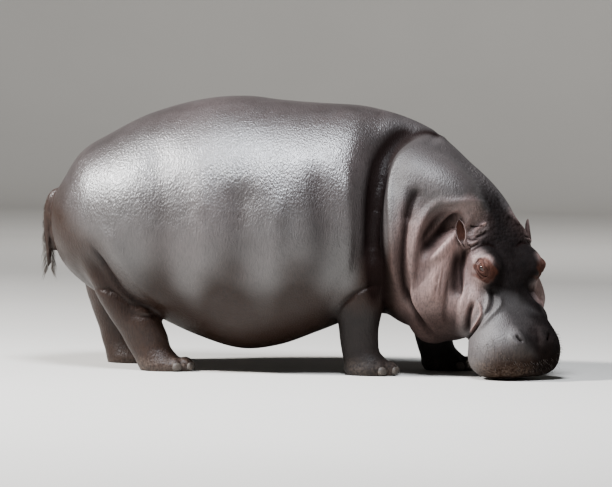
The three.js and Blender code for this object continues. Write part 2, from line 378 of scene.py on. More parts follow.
class Ellipsoid(Form):
    """An ellipsoid with its radii along, across and up in its own frame, given in millimetres."""

    def __init__(self, radii: Sequence[float], place: Frame, blend: float = 0.0) -> None:
        """Keeps the form's measures.

        Args:
            radii: radii along, across and up, in millimetres.
            place: the frame they are set in.
            blend: the length over which the form is joined to those before it.
        """
        self.radii = np.array(radii, float) * MM
        self.place = place
        self.blend = blend

    def distance(self, points: Array) -> Array:
        """The reach past the unit sphere, in radii, over that reach's slope.

        Args:
            points: rows of x, y and z.

        Returns:
            A distance for each row, negative inside.
        """
        scaled = self.place.into(points) / self.radii
        reach = np.linalg.norm(scaled, axis=1)
        return reach * (reach - 1) / np.maximum(np.linalg.norm(scaled / self.radii, axis=1), 1e-6)

    def surface(self, rows: int = 30, around: int = 40) -> tuple[Array, list[tuple[int, ...]]]:
        """Rings from pole to pole along the form's own first axis.

        Args:
            rows: rings from pole to pole.
            around: vertices in a ring.

        Returns:
            The form's vertices and faces.
        """
        polar, angle = sphere_grid(rows, around, 0.02)
        unit = np.stack([
            -np.cos(polar) + 0 * angle,
            np.sin(polar) * np.sin(angle),
            np.sin(polar) * np.cos(angle),
        ], -1)
        return self.place.out_of(unit.reshape(-1, 3) * self.radii), tube_faces(rows, around)


def world_form(centre: Sequence[float], radii: Sequence[float], yaw: float = 0, pitch: float = 0,
               blend: float = 0.0) -> Ellipsoid:
    """An ellipsoid set in the world frame.

    Args:
        centre: its middle, in millimetres.
        radii: radii along, across and up, in millimetres.
        yaw: its turn to the left, in degrees.
        pitch: then its turn down.
        blend: the blend to the forms before, in metres.

    Returns:
        The form.
    """
    return Ellipsoid(radii, Frame(np.array(centre) * MM, turned(yaw, pitch)), blend)


def head_forms(along: float, out: float, up: float, radii: Sequence[float], blend: float) -> list[Ellipsoid]:
    """A pair of ellipsoids set on the head.

    Args:
        along: how far towards the nose, in millimetres.
        out: how far out to each side.
        up: how far up from the forehead.
        radii: radii along, across and up, in millimetres.
        blend: the blend to the forms before, in metres.

    Returns:
        The forms.
    """
    return [
        Ellipsoid(radii, HEAD_FRAME.at(np.array([along, side * out, up]) * MM), blend)
        for side in (RIGHT, LEFT)
    ]


def leg_frame(leg: LegPlan) -> Frame:
    """The sheared frame of a leg: along is up the leg, across is outwards and up is forwards.

    Args:
        leg: the leg.

    Returns:
        Its frame.
    """
    top = leg.stations[-1][0]
    columns = np.array([
        [leg.lean / top, 0, 1],
        [leg.side * leg.splay / top, leg.side, 0],
        [1, 0, 0],
    ], float)
    return Frame(np.array([*leg.foot, 0]) * MM, columns)


def leg_form(leg: LegPlan, blend: float) -> Loft:
    """The shank of a leg. Its widest line is half way between its front and its back."""
    stations = [(at, front, (front + back) / 2, back, half) for at, front, back, half in leg.stations]
    return Loft(stations, leg_frame(leg), blend)


def toe_seat(leg: LegPlan, bearing: float, reach: float, rise: float) -> Frame:
    """The frame of one toe or nail, which faces along its bearing.

    Args:
        leg: the leg.
        bearing: degrees from straight ahead, outwards positive.
        reach: how far it is from the foot's middle, in millimetres.
        rise: how high it is.

    Returns:
        Its frame.
    """
    turn = turned(bearing * leg.side)
    origin = np.array([*leg.foot, 0]) + turn @ np.array([reach, 0, 0]) + np.array([0, 0, rise])
    return Frame(origin * MM, turn)


def toe_forms(leg: LegPlan, blend: float) -> list[Ellipsoid]:
    """The toes of a leg, as short ellipsoids that face outwards.

    Args:
        leg: the leg.
        blend: the blend to the foot, in metres.

    Returns:
        The forms.
    """
    return [
        Ellipsoid((TOE_LENGTH, breadth, TOE_HEIGHT), toe_seat(leg, bearing, reach + TOE_BACK, TOE_RISE), blend)
        for bearing, reach, breadth in TOES
    ]


def smooth_union(one: Array, other: Array, blend: float) -> Array:
    """The lower of two distances, rounded off where they meet.

    Args:
        one: distances to the first shape.
        other: distances to the second shape.
        blend: the difference within which both count.

    Returns:
        The joined distances.
    """
    share = np.clip(0.5 + 0.5 * (other - one) / blend, 0, 1)
    return other * (1 - share) + one * share - blend * share * (1 - share)


class Body:
    """All forms of the flesh, joined in order, each with its own blend to what came before it."""

    def __init__(self, forms: Sequence[Form]) -> None:
        """Bounds each of the forms.

        Args:
            forms: the forms, in the order in which they are joined.
        """
        self.forms = forms
        for form in forms:
            form.bound()

    def distance(self, points: Array) -> Array:
        """The smooth union's rough distance.

        Args:
            points: rows of x, y and z.

        Returns:
            A distance for each row, negative inside.
        """
        total = self.forms[0].distance(points)
        for form in self.forms[1:]:
            gap = np.linalg.norm(points - form.centre, axis=1) - form.reach
            near = np.flatnonzero(gap < total + form.blend)
            total[near] = smooth_union(total[near], form.distance(points[near]), form.blend)
        return total

    def gradient(self, points: Array, here: Array | None = None, step: float = 1 * MM) -> Array:
        """The distance's slope along each axis, from small steps.

        Args:
            points: rows of x, y and z.
            here: the distances at the points, where they are known already.
            step: the length of a step.

        Returns:
            Rows of slopes.
        """
        here = self.distance(points) if here is None else here
        slope = np.empty_like(points)
        for axis in range(3):
            nudge = np.zeros(3)
            nudge[axis] = step
            slope[:, axis] = (self.distance(points + nudge) - here) / step
        return slope

    def project(self, points: Array, steps: int = PROJECT_STEPS) -> Array:
        """Moves points onto the zero level by Newton's method, at most half a rough voxel at a time.

        Args:
            points: rows of x, y and z.
            steps: how many times they are moved.

        Returns:
            The moved rows.
        """
        for _ in range(steps):
            here = self.distance(points)
            slope = self.gradient(points, here)
            size = np.maximum(np.linalg.norm(slope, axis=1), 0.2)
            move = np.clip(here / size, -ROUGH_VOXEL / 2, ROUGH_VOXEL / 2)
            points = points - slope / size[:, None] * move[:, None]
        return points


def tail_form(blend: float) -> Loft:
    """The tail, set so that its along is downwards.

    Args:
        blend: the blend to the trunk, in metres.

    Returns:
        The form.
    """
    place = Frame(np.array([0, 0, TAIL_TOP]) * MM, np.array([[0, 0, 1], [0, -1, 0], [-1, 0, 0]], float))
    stations = [(at, front, (front + back) / 2, back, half) for at, front, back, half in TAIL_STATIONS]
    return Loft(stations, place, blend)


# Ellipsoids of the neck, in millimetres: middle, radii, yaw, pitch and, in metres, blend.
COLLAR = ((625, -60, 765), (218, 432, 480), -6, 3, 0.02)
CREST = ((745, -262, 980), (262, 190, 150), -3, 34, 0.07)
THROAT = ((778, -125, 515), (190, 312, 360), -16, 12, 0.03)
# Pairs of ellipsoids on the head: along, out, up, radii and, in metres, blend.
HEAD_LUMPS = {
    "jowl": (300, 178, -245, (185, 112, 160), 0.05),
    "temple": (40, 128, -85, (110, 92, 82), 0.06),
    "cheek": (130, 135, -170, (170, 100, 130), 0.06),
    "brow": (200, 135, -25, (90, 72, 74), 0.06),
    "lid": (*EYE_PLACE, (EYE_RADIUS + LID_THICKNESS,) * 3, 0.012),
    "lips": (606, 125, -182, (126, 118, 150), 0.08),
    "snout": (500, 112, -120, (165, 72, 80), 0.06),
    "nostril": (622, 88, -40, (62, 44, 40), 0.04),
}
NECK_BLEND, HEAD_BLEND, LEG_BLEND, TOE_BLEND, TAIL_BLEND = 0.10, 0.05, 0.06, 0.012, 0.015


def flesh() -> Body:
    """The forms that the skin covers, in the order in which they are joined."""
    forms: list[Form] = [
        Loft(TRUNK_STATIONS, WORLD),
        world_form(*COLLAR),
        Loft(NECK_STATIONS, NECK_FRAME, NECK_BLEND),
        world_form(*CREST),
        world_form(*THROAT),
        Loft(HEAD_STATIONS, HEAD_FRAME, HEAD_BLEND),
    ]
    for lump in HEAD_LUMPS.values():
        forms += head_forms(*lump)
    for leg in LEGS:
        forms.append(leg_form(leg, LEG_BLEND))
        forms += toe_forms(leg, TOE_BLEND)
    forms.append(tail_form(TAIL_BLEND))
    return Body(forms)


# ---- Meshes ------------------------------------------------------------------------------------------------


def new_object(name: str, mesh: bpy.types.Mesh) -> bpy.types.Object:
    """Links a mesh into the scene.

    Args:
        name: the piece's name.
        mesh: its mesh.

    Returns:
        The new object.
    """
    piece = bpy.data.objects.new(name, mesh)
    bpy.context.scene.collection.objects.link(piece)
    return piece


def build_mesh(name: str, vertices: Array, faces: Sequence[Sequence[int]]) -> bpy.types.Mesh:
    """A mesh from arrays, shaded smooth.

    Args:
        name: the mesh's name.
        vertices: rows of x, y and z.
        faces: vertex numbers of each face.

    Returns:
        The mesh.
    """
    mesh = bpy.data.meshes.new(name)
    mesh.from_pydata([tuple(v) for v in vertices], [], [tuple(f) for f in faces])
    mesh.polygons.foreach_set("use_smooth", [True] * len(mesh.polygons))
    mesh.update()
    return mesh


def vertices_of(mesh: bpy.types.Mesh) -> Array:
    """Reads a mesh's vertices.

    Args:
        mesh: the mesh.

    Returns:
        Rows of x, y and z.
    """
    flat = np.empty(len(mesh.vertices) * 3)
    mesh.vertices.foreach_get("co", flat)
    return flat.reshape(-1, 3)


def set_vertices(mesh: bpy.types.Mesh, vertices: Array) -> None:
    """Moves a mesh's vertices to the given rows."""
    mesh.vertices.foreach_set("co", np.asarray(vertices, np.float32).ravel())
    mesh.update()


def paint(mesh: bpy.types.Mesh, name: str, values: Array) -> None:
    """Stores one number for each vertex under a name that materials can read.

    Args:
        mesh: the mesh.
        name: the attribute's name.
        values: the numbers.
    """
    layer = mesh.attributes.get(name) or mesh.attributes.new(name, "FLOAT", "POINT")
    layer.data.foreach_set("value", np.asarray(values, np.float32))


def ramp(values: Array, low: float, high: float) -> Array:
    """A smooth step, 3t² - 2t³ with t from 0 at low to 1 at high.

    Args:
        values: numbers to grade.
        low: where the step is 0; it may be the greater.
        high: where the step is 1.

    Returns:
        Numbers from 0 to 1.
    """
    t = np.clip((values - low) / (high - low), 0, 1)
    return t * t * (3 - 2 * t)


# ---- The skin ----------------------------------------------------------------------------------------------


class Side(Enum):
    """How a stroke's path is set on the skin."""

    RIGHT = "dropped from the right: points are along the view's right hand, and up"
    LEFT = "dropped from the left: points are along the same line, and up"
    HEAD = "snapped to the nearest skin: points are along, out and up on the head"


CAMERA_AZIMUTH = 7.0


@dataclass(frozen=True)
class Stroke:
    """A line on the skin.

    path: points in millimetres, as the side says. rise: how far the skin is raised in millimetres, negative
    for a fold. width: the line's half breadth. tints: attribute names, and how strongly the line paints each;
    a strength above 1 widens the fully painted middle. taper: the share of its length over which the line
    fades in at either end.
    """

    path: Sequence[tuple[float, ...]]
    rise: float
    width: float
    tints: dict[str, float] = field(default_factory=dict)
    side: Side = Side.RIGHT
    taper: float = 0.25


def smooth_path(points: Array, spacing: float = 8 * MM) -> Array:
    """A Catmull-Rom curve through the points.

    Args:
        points: the points that it passes through.
        spacing: about how far apart it is sampled.

    Returns:
        Rows along the curve.
    """
    if len(points) < 3:
        count = max(2, int(np.linalg.norm(points[-1] - points[0]) / spacing) + 1)
        return points[0] + np.linspace(0, 1, count)[:, None] * (points[-1] - points[0])
    padded = np.vstack([2 * points[0] - points[1], points, 2 * points[-1] - points[-2]])
    found = [points[:1]]
    for i in range(1, len(padded) - 2):
        a, b, c, d = padded[i - 1:i + 3]
        count = max(1, int(np.linalg.norm(c - b) / spacing))
        t = (np.arange(count) + 1)[:, None] / count
        found.append(0.5 * (2 * b + (c - a) * t + (2 * a - 5 * b + 4 * c - d) * t**2
                            + (3 * b - a - 3 * c + d) * t**3))
    return np.vstack(found)


class Canvas:
    """The skin's vertices and outward normals, onto which strokes are dropped from REACH metres away."""

    REACH = 3.0

    def __init__(self, mesh: bpy.types.Mesh, body: Body) -> None:
        """Measures the skin.

        Args:
            mesh: the skin's mesh, whose vertices lie on the body.
            body: the flesh beneath it.
        """
        self.vertices = vertices_of(mesh)
        slope = body.gradient(self.vertices)
        self.normals = slope / np.maximum(np.linalg.norm(slope, axis=1), 1e-9)[:, None]
        self.tree = BVHTree.FromPolygons(self.vertices.tolist(), [tuple(p.vertices) for p in mesh.polygons])
        self.rise = np.zeros(len(self.vertices))
        self.tints: dict[str, Array] = {}

    def lay(self, side: Side, path: Sequence[tuple[float, ...]], hand: int = RIGHT) -> Array:
        """Lays a path on the skin, and skips points that miss it.

        Args:
            side: how the path is set.
            path: its points in millimetres.
            hand: the side of the head.

        Returns:
            Rows along the line.
        """
        flat = smooth_path(np.array(path, float) * MM)
        landed = []
        if side is Side.HEAD:
            for point in HEAD_FRAME.out_of(flat * (1, hand, 1)):
                landed.append(self.tree.find_nearest(Vector(point))[0])
        else:
            turn = turned(CAMERA_AZIMUTH)
            away = Vector(turn[:, 1]) * (1 if side is Side.RIGHT else -1)
            for x, z in flat:
                start = Vector(turn[:, 0]) * x + Vector((0, 0, z)) - away * self.REACH
                landed.append(self.tree.ray_cast(start, away)[0])
        return np.array([point for point in landed if point is not None])

    def nearness(self, line: Array, width: float, taper: float) -> tuple[Array, Array]:
        """Finds the vertices near a line.

        Args:
            line: rows along it.
            width: its half breadth in metres.
            taper: the share of its length that fades at each end.

        Returns:
            Their numbers, and how near each is: 1 on the line, less off it and towards its ends.
        """
        low, high = line.min(0) - 3 * width, line.max(0) + 3 * width
        near = np.flatnonzero(np.all((self.vertices > low) & (self.vertices < high), axis=1))
        if len(line) < 2 or not len(near):
            return near, np.zeros(len(near))
        points = self.vertices[near]
        best = np.full(len(near), np.inf)
        share = np.zeros(len(near))
        for i, (a, b) in enumerate(zip(line[:-1], line[1:])):
            span = b - a
            t = np.clip((points - a) @ span / max(span @ span, 1e-12), 0, 1)
            away = np.linalg.norm(points - a - t[:, None] * span, axis=1)
            closer = away < best
            best[closer] = away[closer]
            share[closer] = (i + t[closer]) / (len(line) - 1)
        ends = ramp(np.minimum(share, 1 - share), -0.2 * taper, taper)
        return near, np.exp(-(best / width) ** 2) * ends

    def lines(self, stroke: Stroke) -> list[Array]:
        """A stroke's lines on the skin, one on each side of the head if it is on the head.

        Args:
            stroke: the stroke.

        Returns:
            The lines.
        """
        hands = (RIGHT, LEFT) if stroke.side is Side.HEAD else (RIGHT,)
        return [line for line in (self.lay(stroke.side, stroke.path, hand) for hand in hands) if len(line) > 1]

    def beneath(self, strokes: Sequence[Stroke]) -> Array:
        """Finds what lies under the strokes or close beside them.

        Args:
            strokes: the strokes.

        Returns:
            Whether each vertex does.
        """
        covered = np.zeros(len(self.vertices), bool)
        for stroke in strokes:
            for line in self.lines(stroke):
                near, weight = self.nearness(line, stroke.width * MM, 0.01)
                covered[near[weight > 0.03]] = True
        return covered

    def draw(self, stroke: Stroke) -> None:
        """Adds a stroke's rise and tints.

        Args:
            stroke: the stroke.
        """
        for line in self.lines(stroke):
            near, weight = self.nearness(line, stroke.width * MM, stroke.taper)
            self.rise[near] += weight * stroke.rise * MM
            for name, strength in stroke.tints.items():
                self.tint(name, near, weight * strength)

    def tint(self, name: str, near: Array, strength: Array) -> None:
        """Paints vertices with an attribute, where it isn't stronger already.

        Args:
            name: the attribute's name.
            near: the vertices' numbers.
            strength: how strongly each is painted.
        """
        layer = self.tints.setdefault(name, np.zeros(len(self.vertices)))
        layer[near] = np.maximum(layer[near], strength)


def fold(*path: tuple[float, ...], depth: float, width: float, side: Side = Side.RIGHT, dark: float = 1.0,
         taper: float = 0.25) -> Stroke:
    """A fold pressed into the skin, with shade painted along it.

    Args:
        path: points in millimetres.
        depth: how deep it is.
        width: its half breadth.
        side: how the path is set.
        dark: how strongly its shade is painted.
        taper: the share of its length that fades at each end.

    Returns:
        The stroke.
    """
    return Stroke(path, -depth, width, {"crease_shade": dark}, side, taper)


def ridge(*path: tuple[float, ...], rise: float, width: float, side: Side = Side.RIGHT, taper: float = 0.25,
          **tints: float) -> Stroke:
    """A raised line.

    Args:
        path: points in millimetres.
        rise: how high it is.
        width: its half breadth.
        side: how the path is set.
        taper: the share of its length that fades at each end.
        tints: attributes, and how strongly it paints each.

    Returns:
        The stroke.
    """
    return Stroke(path, rise, width, tints, side, taper)


# Each fold below is painted with shade along its line, as strongly as its dark says.
NECK_FOLDS = (
    # The collar: the narrow and the wide line of the crease behind it, the wide one deep in painted shade, and
    # the roll's edge.
    fold((765, 1226), (650, 1265), (535, 1235), (460, 1150), (426, 1045), (414, 895), (416, 710), (430, 525),
         (446, 370), (442, 320), depth=3, width=30, taper=0.04),
    fold((640, 1275), (510, 1235), (408, 1095), (374, 900), (374, 690), (390, 480), (415, 345),
         depth=24, width=52, dark=1.5, taper=0.12),
    ridge((600, 1205), (520, 1150), (475, 1050), (460, 925), (470, 770), (487, 610), (520, 455), (560, 350),
          rise=16, width=24),
    # The second fold and the throat's roll.
    fold((600, 985), (568, 890), (545, 790), depth=20, width=34, dark=0.9),
    fold((590, 950), (556, 860), (531, 715), (526, 585), (542, 455), (586, 350), (660, 245), (745, 185),
         depth=30, width=22),
    ridge((795, 925), (705, 905), (635, 840), (595, 745), (578, 610), (585, 480), (615, 365), (680, 260),
          rise=22, width=24, pink=0.2),
    # The pit behind the cheek under a sharp upper edge, darkened with painted shade, and the cheek.
    fold((769, 872), (706, 802), (658, 728), (622, 651), depth=38, width=36, dark=0.9, taper=0.4),
    fold((831, 859), (778, 809), (720, 741), (662, 672), (615, 636), depth=42, width=24),
    ridge((960, 900), (880, 915), (800, 912), (720, 900), rise=12, width=18),
    ridge((890, 850), (843, 806), (790, 745), (738, 680), (682, 618), (622, 580), rise=34, width=28, pink=0.9),
    ridge((820, 760), (765, 670), (715, 570), (695, 450), (710, 330), rise=24, width=60, pink=1.0),
    # Fine upright wrinkles down the cheek.
    fold((710, 560), (700, 480), (690, 410), depth=4, width=5, dark=0.4),
    fold((735, 590), (722, 500), (712, 420), depth=4, width=5, dark=0.4),
)
# Shallow upright folds of the flank, as the skin hangs over the ribs, with painted shade in their hollows.
FLANK_FOLDS = (
    fold((-755, 1250), (-725, 885), (-700, 570), (-665, 360), depth=16, width=80, dark=0.35),
    fold((-300, 1020), (-318, 760), (-300, 440), depth=17, width=74, dark=0.35),
    fold((60, 1120), (108, 765), (70, 420), depth=20, width=66, dark=0.5),
    ridge((-520, 1045), (-495, 675), (-512, 330), rise=8, width=52),
    ridge((-85, 995), (-128, 630), (-120, 260), rise=10, width=46),
    ridge((235, 1080), (247, 790), (242, 460), rise=12, width=38),
)
CHEEK_FOLDS = (
    fold((820, 680), (808, 610), (800, 540), (795, 470), (795, 400), depth=16, width=34),
    fold((848, 690), (836, 625), (828, 560), (824, 490), (822, 420), depth=34, width=15, taper=0.15),
    ridge((140, 215, -90), (230, 230, -115), (320, 255, -140), (390, 265, -195),
          rise=10, width=16, side=Side.HEAD),
    fold((165, 300, -120), (250, 305, -185), (330, 295, -265), (380, 250, -335), depth=10, width=12,
         side=Side.HEAD, dark=0.5),
    fold((350, 215, -110), (395, 235, -145), (445, 230, -200), (470, 205, -250), depth=26, width=15,
         side=Side.HEAD),
    ridge((345, 205, -110), (385, 190, -115), (425, 165, -140), (455, 168, -175), (475, 180, -230),
          rise=14, width=8, side=Side.HEAD, pink=1.0, red=0.4),
    fold((450, 150, -130), (485, 185, -190), (490, 195, -260), (490, 190, -340), depth=18, width=8,
         side=Side.HEAD),
    ridge((270, 155, -95), (335, 140, -100), (405, 140, -115), (445, 150, -135),
          rise=10, width=10, side=Side.HEAD),
    fold((280, 120, -65), (350, 120, -85), (420, 128, -105), (460, 145, -120), depth=12, width=10,
         side=Side.HEAD, dark=0.6),
    ridge((350, 85, -55), (420, 110, -80), (475, 145, -105), (520, 185, -155),
          rise=12, width=14, side=Side.HEAD),
)
EYE_FOLDS = (
    fold((115, 195, -62), (100, 165, -30), (92, 100, -15), (120, 55, -5), depth=8, width=9, side=Side.HEAD),
)
EAR_FOLDS = (
    fold((20, 205, -40), (50, 180, -22), (45, 140, -8), depth=8, width=7, side=Side.HEAD),
    fold((62, 210, -58), (85, 190, -40), (72, 140, -12), depth=8, width=7, side=Side.HEAD),
    fold((-50, 170, -35), (-20, 150, -22), (-10, 95, -18), depth=6, width=6, side=Side.HEAD),
    ridge((38, 205, -45), (68, 188, -30), (60, 145, -10), rise=8, width=10, side=Side.HEAD, pink=0.6),
    ridge((890, 752), (925, 780), (965, 802), rise=14, width=12, pink=0.9),
    fold((897, 728), (935, 741), (978, 765), depth=14, width=9),
)
NOSE_FOLDS = (
    fold((598, 104, -8), (620, 98, 0), (642, 78, 0), depth=20, width=7, side=Side.HEAD),
    ridge((588, 128, -30), (625, 122, -22), (655, 95, -25), rise=7, width=9, side=Side.HEAD),
    fold((560, 60, -30), (600, 50, -28), (650, 45, -35), depth=7, width=12, side=Side.HEAD, dark=0.3),
)
LEG_FOLDS = (
    # The flank's flap over the thigh, and the folds beneath it, with the flap's shadow painted on the thigh.
    fold((-1095, 665), (-1015, 540), (-925, 425), (-840, 360), (-760, 320), (-700, 280),
         depth=24, width=17, dark=0.8),
    fold((-1115, 600), (-1020, 450), (-905, 330), (-800, 270), depth=26, width=60, dark=0.6),
    ridge((-1030, 760), (-970, 660), (-895, 555), (-810, 450), (-715, 365), (-630, 300), rise=22, width=48),
    fold((-1090, 425), (-985, 400), (-880, 345), (-790, 320), depth=14, width=12, dark=0.7),
    fold((-900, 300), (-800, 285), (-730, 295), depth=9, width=10, dark=0.5),
    fold((175, 300), (225, 375), (290, 430), (370, 465), (430, 455), depth=12, width=14, dark=0.6),
)
# The far side has fewer of them.
LEFT_FOLDS = (
    fold((600, 1240), (535, 1100), (508, 900), (506, 690), (520, 480), (540, 360),
         depth=12, width=36, side=Side.LEFT),
    ridge((615, 1150), (580, 950), (576, 750), (592, 560), rise=12, width=26, side=Side.LEFT),
    fold((715, 990), (675, 860), (660, 720), (672, 600), (700, 500),
         depth=22, width=16, side=Side.LEFT, dark=0.8),
    ridge((752, 970), (718, 850), (704, 720), (716, 600), rise=14, width=22, side=Side.LEFT),
    fold((870, 880), (828, 750), (816, 620), (832, 520), depth=18, width=15, side=Side.LEFT, dark=0.7),
    fold((-880, 640), (-815, 510), (-735, 400), (-630, 320), depth=20, width=18, side=Side.LEFT, dark=0.7),
    ridge((-830, 720), (-745, 570), (-640, 450), (-530, 360), rise=16, width=44, side=Side.LEFT),
    fold((-300, 1000), (-322, 700), (-300, 420), depth=14, width=70, side=Side.LEFT, dark=0.3),
    fold((60, 1080), (92, 760), (62, 440), depth=14, width=66, side=Side.LEFT, dark=0.35),
)
STROKES = (
    *NECK_FOLDS, *FLANK_FOLDS, *CHEEK_FOLDS, *EYE_FOLDS, *EAR_FOLDS, *NOSE_FOLDS, *LEG_FOLDS, *LEFT_FOLDS,
)


def ripples(points: Array, size: Sequence[float], seed: int, waves: int = 9) -> Array:
    """Smooth wandering noise: a sum of waves.

    Args:
        points: rows of x, y and z.
        size: about how long the waves are along each axis, in metres.
        seed: the seed of their directions.
        waves: how many there are.

    Returns:
        Numbers between about -1 and 1.
    """
    random = np.random.default_rng(seed)
    total = np.zeros(len(points))
    for _ in range(waves):
        turn = random.normal(size=3) / np.array(size)
        total += np.sin(points @ turn * 2 * math.pi * 0.6 + random.uniform(0, 2 * math.pi))
    return total / math.sqrt(waves)


def eye_frame(hand: int) -> Frame:
    """The frame of an eye: along the slit towards the nose, across it, and out of the head.

    Args:
        hand: the side of the head.

    Returns:
        The frame.
    """
    facing = np.array([EYE_FACING[0], hand * EYE_FACING[1], EYE_FACING[2]])
    facing = facing / np.linalg.norm(facing)
    slit = np.array([1.0, 0, 0]) - facing * facing[0]
    slit = slit / np.linalg.norm(slit)
    columns = np.stack([slit, np.cross(facing, slit), facing], 1)
    return HEAD_FRAME.at(np.array([EYE_PLACE[0], hand * EYE_PLACE[1], EYE_PLACE[2]]) * MM, columns)


@dataclass(frozen=True)
class Lids:
    """The eyelids' slits, the skin round them and its red patches.

    half_length and half_height: the slit's. reach counts slits: 1 at the slit's edge, and swell and groove are
    where the lid is raised and where the groove round it runs. bags: the radii of two rings beneath the eye.
    patch: the middle of the red patch on the head, in millimetres.
    """

    half_length: float = 24 * MM
    half_height: float = 12 * MM
    socket_depth: float = 15 * MM
    swell: float = 1.45
    swell_rise: float = 3 * MM
    groove: float = 2.1
    groove_depth: float = 2.5 * MM
    bags: tuple[float, float] = (31 * MM, 43 * MM)
    bag_depth: float = 5 * MM
    bag_width: float = 3.2 * MM
    patch: tuple[float, float, float] = (240, 186, 4)

    def draw(self, canvas: Canvas) -> None:
        """Presses the skin in behind each lid's edge, raises the lids, paints shade into the slits, grooves and
        bags, and reddens the brow beside them.

        Args:
            canvas: the skin.
        """
        everywhere = np.arange(len(canvas.vertices))
        wander = 0.012 * ripples(canvas.vertices, (0.05, 0.05, 0.05), SEED + 2)
        for hand in (RIGHT, LEFT):
            along, across, out = eye_frame(hand).into(canvas.vertices).T
            front = np.flatnonzero((out > 0) & (np.hypot(along, across) < 80 * MM))
            reach = np.hypot(along[front] / self.half_length, across[front] / self.half_height)
            groove = np.exp(-((reach - self.groove) / 0.2) ** 2)
            canvas.rise[front] -= self.socket_depth * ramp(reach, 1.12, 0.88)
            canvas.rise[front] += self.swell_rise * np.exp(-((reach - self.swell) / 0.25) ** 2)
            canvas.rise[front] -= self.groove_depth * groove
            # Painted shade in the slit and in the groove round it.
            canvas.tint("crease_shade", front, ramp(reach, 1.15, 0.9) + 0.5 * groove)
            # The bags are drawn out towards the nose.
            below = hand * across[front]
            round_eye = np.hypot(along[front] * np.where(along[front] > 0, 0.62, 0.95), below)
            for radius in self.bags:
                ring = np.exp(-((round_eye - radius) / self.bag_width) ** 2) * ramp(below, -6 * MM, 8 * MM)
                canvas.rise[front] -= self.bag_depth * ring
                # Painted shade in the folds of the bags.
                canvas.tint("crease_shade", front, 0.9 * ring)
            canvas.tint("red", front, 0.75 * ramp(round_eye, 0.080, 0.018))
            patch = HEAD_FRAME.into(canvas.vertices) - np.array(self.patch) * (1, hand, 1) * MM
            away = np.linalg.norm(patch / (1.3, 1, 1), axis=1) + wander
            canvas.tint("red", everywhere, ramp(away, 0.078, 0.045))


